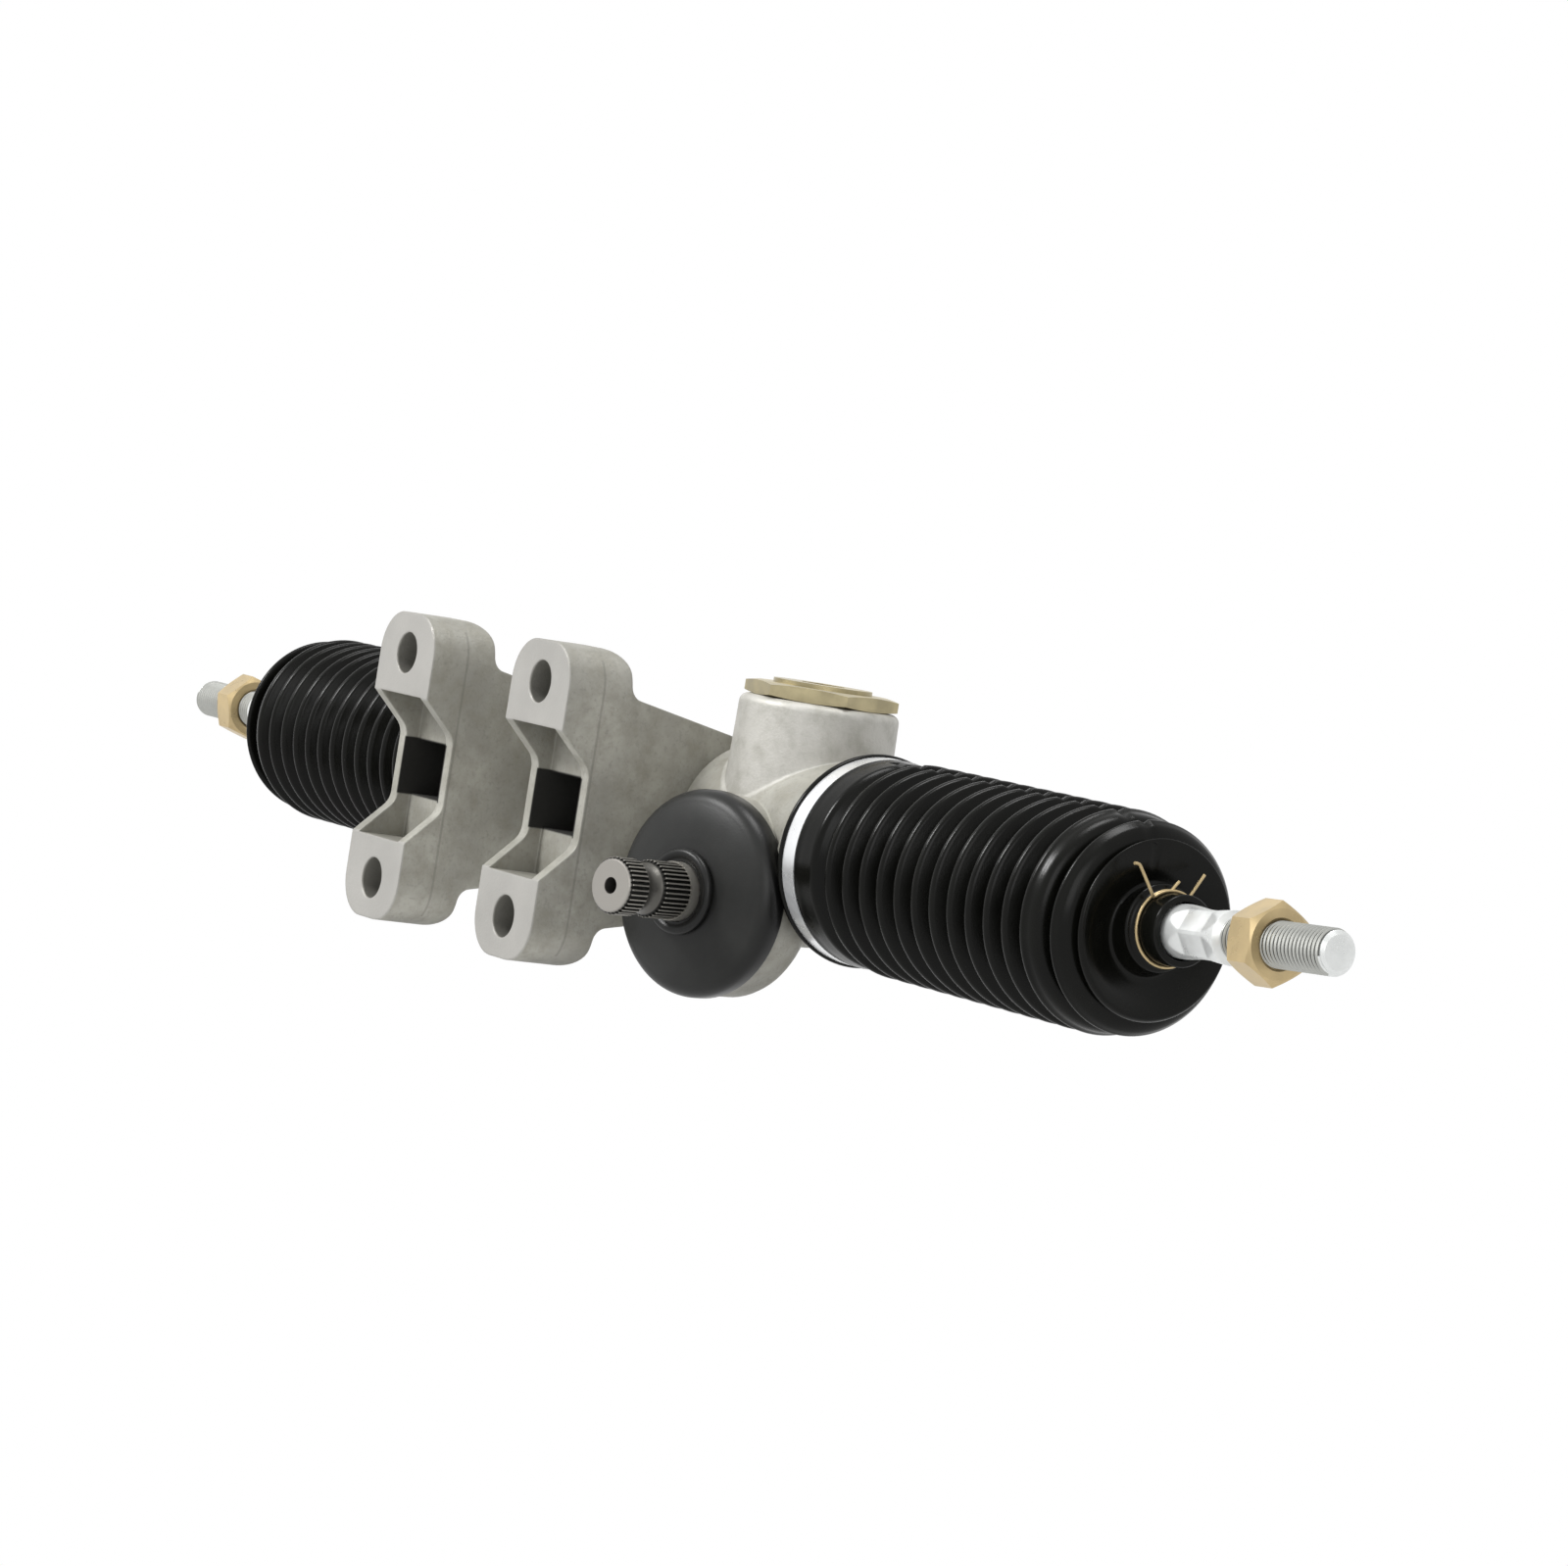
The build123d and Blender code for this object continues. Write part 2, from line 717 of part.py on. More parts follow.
def bellows(reach, rise):
    """One boot, with its rim at x = 0 and the small end out along X."""
    inner = spigot_r + seat_gap
    band_front = rim_width + band_width
    crest = ridge_pitch / 10
    shoulder = last_ridge + roll_length
    ring_a = last_ridge + ring_a_step
    valley_a = ring_a - ring_flat
    valley_b = boot_end - ring_flat
    hole = neck_r - bellows_wall
    outer = [
        (0, inner), (0, cuff_r + rim_proud), (rim_width, cuff_r + rim_proud), (rim_width, cuff_r),
        (band_front, cuff_r), (band_front, cuff_r + band_t), (first_ridge - 0.7 * ridge_pitch, cuff_r)]
    inside = [
        (spigot_length + ring_flat, inner - 2 * bellows_wall), (spigot_length + ring_flat, inner)]
    for i in range(ridge_count):
        x = first_ridge + i * ridge_pitch
        outer += [(x - ridge_pitch / 2, valley_r), (x - crest, ridge_r), (x + crest, ridge_r)]
        inside[:0] = [(x, ridge_r - bellows_wall), (x - ridge_pitch / 2, valley_r - bellows_wall)]
    outer += [
        (shoulder, ridge_r - roll_drop),
        (valley_a, valley_r - bellows_wall / 2),
        (ring_a, end_ring_r),
        (ring_a + ring_flat, end_ring_r - roll_drop),
        (valley_b, valley_r - 2 * bellows_wall),
        (boot_end, valley_r - bellows_wall / 3),
        (boot_end, hole),
        (boot_end - bellows_wall, hole),
        (boot_end - bellows_wall, valley_r - 4 * bellows_wall),
        (valley_b - bellows_wall, valley_r - 3 * bellows_wall),
        (ring_a + ring_flat / 2, end_ring_r - 1.5 * bellows_wall),
        (valley_a, valley_r - 1.5 * bellows_wall),
        (shoulder, ridge_r - roll_drop - bellows_wall)]
    body = turned(*outer, *inside)
    neck_place = Pos(reach, 0, 0) * Rot(0, -rise, 0)
    front = neck_start(reach) + neck_length
    neck = tube_x(neck_start(reach), front, rod_r + neck_gap, neck_r)
    bore = rod_x(0, front, rod_r + neck_gap)
    return (body + neck_place * neck) - neck_place * bore


def boot_band():
    """The metal band on the cuff, with the rim at x = 0."""
    return tube_x(rim_width, rim_width + band_width, cuff_r + running_gap, cuff_r + band_t + running_gap)


def boot_clip(reach):
    """The sprung wire clip on the neck, in the rod's frame."""
    turn_r = neck_r + clip_wire_r + seat_gap
    coil = Helix(clip_turn_gap, clip_turns * clip_turn_gap, turn_r)
    wire = sweep(Plane(coil @ 0, z_dir=coil % 0) * Circle(clip_wire_r), coil, is_frenet=True)
    ear = Cylinder(0.9 * clip_wire_r, clip_ear, align=(Align.CENTER, Align.CENTER, Align.MIN))
    for share in (0.01, 0.99):
        foot = coil @ share
        turn = math.degrees(math.atan2(foot.Y, foot.X))
        wire += Pos(foot) * Rot(0, 0, turn) * Rot(0, 90, 0) * ear
    place = Pos(neck_start(reach) + clip_step, 0, 0) * Rot(0, 90, 0)
    return place * Rot(0, 0, clip_start_turn) * wire


# Ball joints and tie rods, each in the frame of its ball, pointing out along X


def mouth_cone(reach):
    """The conical space that the neck swings in."""
    wide = reach * math.tan(math.radians(mouth_angle))
    return turned((0, 0), (reach, wide), (reach, 0))


def ball_housing():
    """The steel socket with its wrench flats and stud."""
    shape = turned(
        (-socket_back, 0), (-socket_back, socket_r), (socket_front - socket_nose / 3, socket_r),
        (socket_front, socket_r - socket_nose), (socket_front, 0))
    shape += rod_x(-flats_back, -socket_back, flats_width / 2 + 1)
    length = 2 * (flats_back - socket_back)
    for side in (-1, 1):
        shape -= Pos(-flats_back, side * flats_width, 0) * Box(length, flats_width, 4 * socket_r)
    shape += rod_x(-bar_end_gap - stud_length, -flats_back, stud_r)
    shape -= ball(ball_r + seat_wall + 2 * running_gap)
    return shape - mouth_cone(socket_front)


def ball_seat():
    """The nylon seat around the ball."""
    shape = ball(ball_r + seat_wall + running_gap) - ball(ball_r + running_gap)
    return shape - mouth_cone(2 * ball_r)


def tie_rod(nut_at):
    """The ball, neck, flats and threaded end of one rod."""
    half = thread_d / 2
    rod = turned(
        (0, 0),
        (0, ball_neck_r),
        (rod_neck_end - 2 * rod_neck_slope, ball_neck_r),
        (rod_neck_end - rod_neck_slope, rod_r),
        (thread_start - rod_shoulder, rod_r),
        (thread_start, half),
        (nut_at, half),
        (nut_at, thread_minor_r),
        (nut_at + nut_t, thread_minor_r),
        (nut_at + nut_t, half),
        (rod_length - rod_tip_chamfer, half),
        (rod_length, half - rod_tip_chamfer),
        (rod_length, 0))
    flats = hexagon_x(rod_flats_start, rod_flats_end, rod_flats)
    collar = rod_x(rod_flats_start, rod_flats_end, 2 * rod_r) - flats
    return ball(ball_r) + (rod - collar)


def jam_nut(nut_at, turn):
    """The hexagon nut, chamfered on both sides."""
    end = nut_at + nut_t
    nut = chamfered_hexagon(nut_at, end, nut_flats, nut_chamfer, nut_face_inset)
    nut -= rod_x(nut_at, end, thread_minor_r + running_gap)
    for face, inside in ((nut_at, nut_at + nut_sink), (end, end - nut_sink)):
        nut -= turned((face, 0), (face, nut_sink_r), (inside, thread_minor_r), (inside, 0))
    return Rot(turn, 0, 0) * nut


def lock_washer():
    """The tab washer between the socket and the bar."""
    start = -bar_end_gap
    return tube_x(start, start + washer_t, stud_r, washer_r)


def travel_stop():
    """The ring on the bar that meets the housing at full travel."""
    start = -bar_end_gap - stop_length
    return tube_x(start, start + stop_length, bar_r, stop_r)


def write_side(side, rim_place, joint_place, rod_place, reach, rise, nut_at, nut_turn):
    """Write all that belongs to one end of the rack."""
    save(side + "_bellows", rim_place * bellows(reach, rise))
    save(side + "_boot_band", rim_place * boot_band())
    save(side + "_boot_clip", rod_place * boot_clip(reach))
    save(side + "_ball_housing", joint_place * ball_housing())
    save(side + "_ball_seat", joint_place * ball_seat())
    save(side + "_lock_washer", joint_place * lock_washer())
    save(side + "_travel_stop", joint_place * travel_stop())
    save(side + "_tie_rod", rod_place * tie_rod(nut_at))
    save(side + "_jam_nut", rod_place * jam_nut(nut_at, nut_turn))


save("gear_housing", gear_housing())
save("rack_bar", rack_bar())
save("rack_bush", rack_bush())
save("rack_yoke", rack_yoke())
save("yoke_pad", yoke_pad())
save("yoke_o_ring", yoke_o_ring())
save("yoke_spring", yoke_spring())
save("yoke_adjuster_plug", yoke_adjuster_plug())
save("yoke_lock_nut", yoke_lock_nut())
save("pinion_shaft", pinion_shaft())
save("pinion_bearing_outer", pinion_bearing_outer())
save("pinion_bearing_inner", pinion_bearing_inner())
save("pinion_bearing_balls", *pinion_bearing_balls())
save("pinion_bearing_cage", pinion_bearing_cage())
save("bearing_circlip", bearing_circlip())
save("shaft_circlip", shaft_circlip())
save("pinion_oil_seal", pinion_oil_seal())
save("pinion_lower_bush", pinion_lower_bush())
save("pinion_end_cap", pinion_end_cap())
save("pinion_boot", pinion_boot())
right_rim_place = Pos(right_rim_x, axis_y, 0)
left_rim_place = Pos(left_rim_x, axis_y, 0) * Rot(0, 0, 180)
right_reach = right_ball_x - right_rim_x
left_reach = left_rim_x - left_ball_x
write_side(
    "right", right_rim_place, right_joint_place, right_rod_place,
    right_reach, right_rod_rise, right_nut_at, right_nut_turn)
write_side(
    "left", left_rim_place, left_joint_place, left_rod_place,
    left_reach, left_rod_rise, left_nut_at, left_nut_turn)
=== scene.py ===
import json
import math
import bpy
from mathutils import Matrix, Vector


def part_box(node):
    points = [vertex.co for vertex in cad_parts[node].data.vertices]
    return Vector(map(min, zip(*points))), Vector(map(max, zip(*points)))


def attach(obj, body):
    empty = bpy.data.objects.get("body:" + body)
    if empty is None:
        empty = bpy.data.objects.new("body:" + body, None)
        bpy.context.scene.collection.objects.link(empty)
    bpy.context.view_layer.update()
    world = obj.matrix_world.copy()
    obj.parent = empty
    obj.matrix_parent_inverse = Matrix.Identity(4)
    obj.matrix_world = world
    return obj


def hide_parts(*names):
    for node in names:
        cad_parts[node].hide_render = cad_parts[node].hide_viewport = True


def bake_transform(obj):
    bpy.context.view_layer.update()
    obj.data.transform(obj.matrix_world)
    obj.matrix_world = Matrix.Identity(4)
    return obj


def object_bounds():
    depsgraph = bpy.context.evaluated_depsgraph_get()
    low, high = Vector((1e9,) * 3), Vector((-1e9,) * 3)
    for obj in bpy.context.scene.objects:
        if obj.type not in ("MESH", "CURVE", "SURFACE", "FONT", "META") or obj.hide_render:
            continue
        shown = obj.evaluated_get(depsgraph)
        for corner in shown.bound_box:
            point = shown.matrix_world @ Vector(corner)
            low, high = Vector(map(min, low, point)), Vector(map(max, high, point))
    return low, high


bl_info = {
    "name": "Steering Rack",
    "version": (1, 0, 0),
    "blender": (4, 5, 0),
    "location": "View3D > Sidebar > Steering Rack",
    "description": "Rubber boots, threaded rods, clips and finishes for a steering rack",
    "category": "Object",
}

import bpy
from bpy.props import FloatProperty, FloatVectorProperty, IntProperty, PointerProperty
from mathutils import Matrix, Vector

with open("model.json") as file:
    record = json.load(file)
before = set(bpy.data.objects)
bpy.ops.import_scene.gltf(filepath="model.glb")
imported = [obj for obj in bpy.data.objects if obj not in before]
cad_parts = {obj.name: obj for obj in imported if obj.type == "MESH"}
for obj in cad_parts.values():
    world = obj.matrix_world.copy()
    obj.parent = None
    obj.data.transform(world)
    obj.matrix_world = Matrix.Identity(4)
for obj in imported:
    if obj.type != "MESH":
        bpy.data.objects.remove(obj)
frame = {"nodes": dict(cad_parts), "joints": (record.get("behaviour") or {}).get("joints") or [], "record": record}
cad_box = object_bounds()

MM = 0.001
SIDES = ("right", "left")
JOINTS = {joint["name"]: joint for joint in frame["joints"]}
MOUNTS = {mount["name"]: mount for mount in frame["record"]["mounts"]}

# Camera: its place, where the picture's right and down point, and its lens and sensor in millimetres
CAMERA_PLACE = (1.3953, -0.7677, 0.0821)
CAMERA_RIGHT = (0.5205, 0.8392, 0.1576)
CAMERA_DOWN = (0.1196, 0.1112, -0.9866)
CAMERA_LENS = 127.1
CAMERA_SENSOR = 36
CAMERA_RANGE = (0.05, 50)

# Lamps: the name, place, size and share of the key lamp's power
LAMPS = (
    ("Key", (-0.5, -1.4, 1.2), 0.5, 1.0),
    ("Top", (0.3, 0.1, 1.9), 0.7, 0.5),
    ("Fill", (1.6, -0.6, 0.5), 0.8, 0.14),
)
FLOOR_SIZE = 8
FLOOR_COLOUR = (0.9, 0.9, 0.9, 1)
WHITE = (1, 1, 1, 1)


# Settings that a user would change


class BootSettings(bpy.types.PropertyGroup):
    """Sizes of the rubber boots over the ball joints, in millimetres"""

    ridge_radius: FloatProperty(
        name="Ridge radius", description="Radius of the folds", default=29.5, min=25)
    valley_radius: FloatProperty(
        name="Valley radius", description="Radius between the folds", default=22.8, min=15)
    ridge_pitch: FloatProperty(name="Pitch", description="Distance from fold to fold", default=8.54, min=4)
    ridge_count: IntProperty(name="Folds", description="Number of equal folds", default=12, min=3)
    wall: FloatProperty(name="Wall", description="Thickness of the rubber", default=1.2, min=0.5)
    sides: IntProperty(name="Steps", description="Steps around each boot", default=112, min=24)


class ThreadSettings(bpy.types.PropertyGroup):
    """Sizes of the threaded rods and the wire clips, in millimetres"""

    pitch: FloatProperty(
        name="Thread pitch", description="Distance from turn to turn", default=1.5, min=0.5)
    outer: FloatProperty(name="Thread radius", description="Outer radius of the thread", default=6.0, min=2)
    depth: FloatProperty(name="Thread depth", description="Depth of the thread", default=0.85, min=0.2)
    flats: FloatProperty(name="Across flats", description="Width of the rod's hexagon", default=12.6, min=8)
    wire: FloatProperty(name="Wire radius", description="Radius of the clip's wire", default=0.43, min=0.2)


class FinishSettings(bpy.types.PropertyGroup):
    """Colours of the finishes"""

    casting: FloatVectorProperty(
        name="Casting", description="Cast aluminium", subtype="COLOR", default=(0.355, 0.347, 0.308))
    machined: FloatVectorProperty(
        name="Machined", description="Machined aluminium", subtype="COLOR", default=(0.355, 0.346, 0.324))
    rubber: FloatVectorProperty(
        name="Rubber", description="Boots over the ball joints", subtype="COLOR",
        default=(0.003, 0.0031, 0.0024))
    cover: FloatVectorProperty(
        name="Dust cover", description="Cover on the pinion", subtype="COLOR",
        default=(0.0175, 0.018, 0.0168))
    zinc: FloatVectorProperty(
        name="Zinc", description="Plated rods", subtype="COLOR", default=(0.73, 0.745, 0.735))
    yellow: FloatVectorProperty(
        name="Yellow zinc", description="Nuts and clips", subtype="COLOR", default=(0.5, 0.385, 0.205))
    thread: FloatVectorProperty(
        name="Thread", description="Rolled threads", subtype="COLOR", default=(0.42, 0.425, 0.4))
    steel: FloatVectorProperty(
        name="Steel", description="Input shaft", subtype="COLOR", default=(0.095, 0.091, 0.082))


class StudioSettings(bpy.types.PropertyGroup):
    """Light and floor"""

    ambient: FloatProperty(name="Ambient", description="Light from all round", default=0.35, min=0)
    key: FloatProperty(name="Key", description="Main lamp", unit="POWER", default=34.0, min=0)
    floor_drop: FloatProperty(
        name="Floor drop", description="Floor below the part", unit="LENGTH", default=0.002, min=0)


# Modelling helpers. Shapes are made in millimetres along X and then put in place.

MERGE_GAP = 0.001


def select_none():
    """Leave edit mode with nothing selected."""
    if bpy.context.object and bpy.context.object.mode != "OBJECT":
        bpy.ops.object.mode_set(mode="OBJECT")
    bpy.ops.object.select_all(action="DESELECT")


def name_object(name):
    """Name the active object and its mesh."""
    made = bpy.context.object
    made.name = name
    made.data.name = name
    return made


def begin_line(name, start):
    """A new object in edit mode that holds one vertex."""
    select_none()
    bpy.ops.mesh.primitive_plane_add(size=1)
    made = name_object(name)
    bpy.ops.object.mode_set(mode="EDIT")
    bpy.ops.mesh.select_all(action="SELECT")
    bpy.ops.mesh.merge(type="CENTER")
    bpy.ops.transform.translate(value=(start[0], 0, start[1]))
    return made


def draw_outline(name, outline):
    """A chain of edges through (along, radius) points, left in edit mode."""
    made = begin_line(name, outline[0])
    for (x0, r0), (x1, r1) in zip(outline, outline[1:]):
        bpy.ops.mesh.extrude_vertices_move(TRANSFORM_OT_translate={"value": (x1 - x0, 0, r1 - r0)})
    bpy.ops.mesh.select_all(action="SELECT")
    return made


def turned(name, outline, steps=96):
    """A shape spun about X from an outline of (along, radius) points."""
    made = draw_outline(name, outline)
    bpy.ops.mesh.spin(steps=steps, angle=math.tau, center=(0, 0, 0), axis=(1, 0, 0))
    bpy.ops.mesh.select_all(action="SELECT")
    bpy.ops.mesh.remove_doubles(threshold=MERGE_GAP)
    bpy.ops.mesh.normals_make_consistent(inside=False)
    bpy.ops.object.mode_set(mode="OBJECT")
    return made


def apply_modifier(made, kind, **values):
    """Add one modifier, set it and apply it."""
    bpy.ops.object.modifier_add(type=kind)
    modifier = made.modifiers[-1]
    for key, value in values.items():
        setattr(modifier, key, value)
    bpy.ops.object.modifier_apply(modifier=modifier.name)


def put(made, place, angle):
    """Smooth a shape up to an angle between faces, and move its mesh to its place."""
    bpy.ops.object.shade_smooth_by_angle(angle=math.radians(angle))
    made.data.transform(place @ Matrix.Scale(MM, 4))
    made.data.update()


def swell(a, b, share):
    """A smooth step from a to b."""
    return a + (b - a) * (0.5 - 0.5 * math.cos(math.pi * share))


def flowing(keys, step):
    """Points that flow through (along, radius) keys, level at each of them."""
    points = []
    for (x0, r0), (x1, r1) in zip(keys, keys[1:]):
        count = max(2, round(abs(x1 - x0) / step))
        points += [(x0 + (x1 - x0) * i / count, swell(r0, r1, i / count)) for i in range(count)]
    return points + [keys[-1]]


def rounded_corner(x, r, radius, start, end, count=5):
    """An arc of (along, radius) points about a centre, angles in degrees from X."""
    turn = [math.radians(start + (end - start) * i / count) for i in range(count + 1)]
    return [(x + radius * math.cos(a), r + radius * math.sin(a)) for a in turn]


# Frames of the two ends


def rim_place(side):
    """The frame of a boot's rim, with X pointing out of the housing."""
    low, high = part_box(side + "_bellows")
    axis_y = JOINTS[side + "_rod_yaw"]["pos_m"][1]
    if side == "right":
        return Matrix.Translation((low.x, axis_y, 0))
    return Matrix.Translation((high.x, axis_y, 0)) @ Matrix.Rotation(math.pi, 4, "Z")


def rod_place(side):
    """The frame of a rod, with its ball at the origin and X along the rod."""
    along = Vector(MOUNTS[side + "_rod_thread"]["axis"]).normalized()
    up = Vector((0, 0, 1))
    up = (up - along * up.dot(along)).normalized()
    across = up.cross(along)
    turn = Matrix((along, across, up)).transposed().to_4x4()
    return Matrix.Translation(JOINTS[side + "_rod_yaw"]["pos_m"]) @ turn


def rod_rise(side):
    """How steeply a rod climbs away from its ball, in radians."""
    return math.asin(MOUNTS[side + "_rod_thread"]["axis"][2])


def ball_reach(side):
    """The ball's distance from the boot's rim, in millimetres."""
    ball = Vector(JOINTS[side + "_rod_yaw"]["pos_m"])
    return (ball - rim_place(side).translation).length / MM


# Rubber boots, with their (along, radius) points counted from the rim

RIM_R = 29.7
BEAD_R = 1.0
CUFF_R = 28.4
BAND_END = 7.7
CUFF_SHOULDER = ((10.2, CUFF_R + 0.4), (16.0, CUFF_R + 0.2), (19.8, 24.6), (21.0, 24.2))
FIRST_RIDGE = 25.1
CREST_R = 1.3
GROOVE_R = 1.0

# The last fold: the distance past its crest, and the drop from it
LAST_FOLD = (
    (1.4, 0.72), (2.4, 0.9), (3.4, 1.2), (4.4, 1.8), (5.2, 2.8), (5.7, 4.4),
    (6.05, 6.4), (6.5, 8.4), (7.4, 9.5))

# The boot is cut twice, in the valleys on both sides of the roll after the last fold.
# A roll's crest, the collar and the cover's corners are arcs: along, radius and arc radius.
CUT_ONE = 128.4
CUT_ONE_R = 19.8
CUT_TWO = 135.2
CUT_TWO_R = 18.8
ROLL_RISE = ((128.9, 22.6), (129.3, 25.4))
ROLL_CREST = (130.3, 27.0, 0.9)
ROLL_FALL = (
    (131.5, 27.2), (132.1, 26.85), (132.6, 26.35), (133.2, 25.4), (133.6, 24.4), (133.9, 23.0),
    (134.15, 21.3), (134.5, 19.6), (134.9, 18.9))
END_RISE = ((135.3, 20.6), (135.4, 22.2))
END_CREST = (136.3, 22.7, 0.9)
END_DISH = (
    (137.1, 22.0), (136.9, 20.8), (136.4, 19.0), (135.7, 17.2), (135.0, 15.5), (134.4, 14.1),
    (134.0, 13.0), (134.0, 12.2), (134.5, 11.7), (138.6, 11.5))
COLLAR = (138.8, 10.7, 0.8)
NECK_R = 9.3
NECK_FOOT = ((139.7, 10.2), (140.1, 9.7), (140.8, 9.4), (142.0, NECK_R), (145.0, NECK_R))
NECK_START = 139.2
MOUTH = 149.0
MOUTH_R = 7.3

# A span along the folds, how thin the end's wall is, and the angle up to which it is smooth
STRETCH = (16.0, 127.0)
END_WALL = 0.65
BOOT_SMOOTHING = 50

# The moulding seam: its angle and half width in degrees, its depth, its start, and the radii
# from which it shows on the folds and the rolls, and between which it shows on the dish
SEAM_ANGLE = 100.0
SEAM_HALF_WIDTH = 1.7
SEAM_DEPTH = 0.8
SEAM_START = 12
SEAM_FOLD_R = 25.0
SEAM_ROLL_R = 21.0
SEAM_ROLL_END = 136.5
SEAM_DISH = (14.0, 22.5)


def cuff_outline():
    """The rim bead, the band's seat and the lip behind it."""
    bead = rounded_corner(BEAD_R, RIM_R - BEAD_R, BEAD_R, 180, 0, 8)
    seat = [(2 * BEAD_R, CUFF_R), (BAND_END, CUFF_R)]
    lip = rounded_corner(BAND_END + 0.7, CUFF_R, 0.6, 180, 60)
    return [(0, CUFF_R - 1.5)] + bead + seat + lip


def fold_outline(boot):
    """The cuff and all the equal folds, up to the first cut."""
    pitch = boot.ridge_pitch
    points = cuff_outline() + flowing(CUFF_SHOULDER, 0.8)
    end = FIRST_RIDGE + (boot.ridge_count - 1) * pitch
    for i in range(boot.ridge_count):
        x = FIRST_RIDGE + i * pitch
        if i > 0:
            points += rounded_corner(x - pitch / 2, boot.valley_radius + GROOVE_R, GROOVE_R, -150, -30, 4)
        crest = rounded_corner(x, boot.ridge_radius - CREST_R, CREST_R, 170, 10, 8)
        points += crest if x < end else crest[:-2]
    points += [(end + x, boot.ridge_radius - drop) for x, drop in LAST_FOLD]
    return points + [(CUT_ONE, CUT_ONE_R)]


def shoulder_outline():
    """The roll next to the last fold."""
    crest = rounded_corner(*ROLL_CREST, 160, 40, 6)
    return [(CUT_ONE, CUT_ONE_R), *ROLL_RISE, *crest, *ROLL_FALL, (CUT_TWO, CUT_TWO_R)]


def end_outline():
    """The last roll, the dished end face, its collar and the neck."""
    crest = rounded_corner(*END_CREST, 150, -10, 8)
    collar = rounded_corner(*COLLAR, 80, 0, 5)
    lip = rounded_corner(MOUTH - 0.6, NECK_R - 0.6, 0.6, 90, 0)
    inside = [(MOUTH, MOUTH_R + 0.3), (MOUTH - 0.5, MOUTH_R), (MOUTH - 3.0, MOUTH_R)]
    return [(CUT_TWO, CUT_TWO_R), *END_RISE, *crest, *END_DISH, *collar, *NECK_FOOT, *lip, *inside]


def lean_with_rod(made, side):
    """Turn the far end of a boot about the ball, as the rod at rest does."""
    reach = ball_reach(side)
    rise = rod_rise(side)
    for vertex in made.data.vertices:
        share = min(max((vertex.co.x - CUT_TWO) / (NECK_START - CUT_TWO), 0), 1)
        share = share * share * (3 - 2 * share)
        centre = Vector((reach, 0, 0))
        vertex.co = centre + Matrix.Rotation(-rise * share, 3, "Y") @ (vertex.co - centre)


def press_seam(made):
    """Press the moulding seam along the top of a boot."""
    for vertex in made.data.vertices:
        angle = math.degrees(math.atan2(vertex.co.z, vertex.co.y))
        radius = math.hypot(vertex.co.y, vertex.co.z)
        if vertex.co.x < SEAM_START or abs(angle - SEAM_ANGLE) > SEAM_HALF_WIDTH:
            continue
        if radius > SEAM_FOLD_R or CUT_ONE < vertex.co.x < SEAM_ROLL_END and radius > SEAM_ROLL_R:
            vertex.co.y *= 1 - SEAM_DEPTH / radius
            vertex.co.z *= 1 - SEAM_DEPTH / radius
        if SEAM_DISH[0] < radius < SEAM_DISH[1] and vertex.co.x > CUT_TWO:
            vertex.co.x -= SEAM_DEPTH / 2


def make_boot(side, boot, rubber):
    """One boot in three pieces, with its end turned as the rod is at rest."""
    place = rim_place(side)
    seat, rod, thin = side + "_seat", side + "_rod", END_WALL * boot.wall
    parts = (
        ("folds", fold_outline(boot), boot.wall, "housing", "rack", *STRETCH),
        ("shoulder", shoulder_outline(), boot.wall, "rack", seat, CUT_ONE, CUT_TWO),
        ("end", end_outline(), thin, seat, rod, CUT_TWO, NECK_START),
    )
    for part, outline, wall, first, second, start, end in parts:
        made = turned(side + "_boot_" + part, outline, boot.sides)
        press_seam(made)
        if part == "end":
            lean_with_rod(made, side)
        apply_modifier(made, "SOLIDIFY", thickness=wall, offset=-1)
        put(made, place, BOOT_SMOOTHING)
        dress(made, rubber)
        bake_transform(made)
        if part == "folds":
            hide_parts(side + "_bellows")


# Pinion dust cover, with its points counted from the pinion's centre

COVER_BACK = 32.6
COVER_BACK_R = 28.2
COVER_INNER_R = 26.6
COVER_CORNER = (35.9, 23.9, 5.0)
COVER_FACE = ((40.7, 25.3), (42.4, 21.0), (43.3, 13.2))
COVER_FACE_STEPS = 12
COVER_LIP_FOOT = (43.5, 12.2)
COVER_LIP = (44.7, 10.7, 1.3)
COVER_INSIDE = (
    (46.0, 10.0), (45.4, 9.4), (45.2, 8.9), (45.3, 8.4), (44.0, 8.3), (42.0, 10.0),
    (40.4, 20.0), (39.3, 23.4), (37.4, 25.8), (COVER_BACK, COVER_INNER_R))
COVER_SMOOTHING = 60


def cover_outline():
    """The cover's outside, its lip round the shaft and its inside."""
    points = [(COVER_BACK, COVER_INNER_R), (COVER_BACK, COVER_BACK_R)]
    points += rounded_corner(COVER_BACK + 0.7, COVER_BACK_R, 0.7, 180, 90, 3)
    points += rounded_corner(*COVER_CORNER, 90, 18, 10)
    start, bend, end = (Vector(point) for point in COVER_FACE)
    for i in range(COVER_FACE_STEPS + 1):
        share = i / COVER_FACE_STEPS
        points.append(tuple(start.lerp(bend, share).lerp(bend.lerp(end, share), share)))
    return points + [COVER_LIP_FOOT, *rounded_corner(*COVER_LIP, 150, 0, 7), *COVER_INSIDE]


def pinion_place():
    """The frame of the pinion, with X out along the input shaft."""
    joint = JOINTS["pinion_spin"]
    along = Vector(joint["axis"]).normalized()
    up = Vector((0, 0, 1))
    turn = Matrix((along, up.cross(along), up)).transposed().to_4x4()
    return Matrix.Translation(joint["pos_m"]) @ turn


# Tie rods, with their points counted from the ball

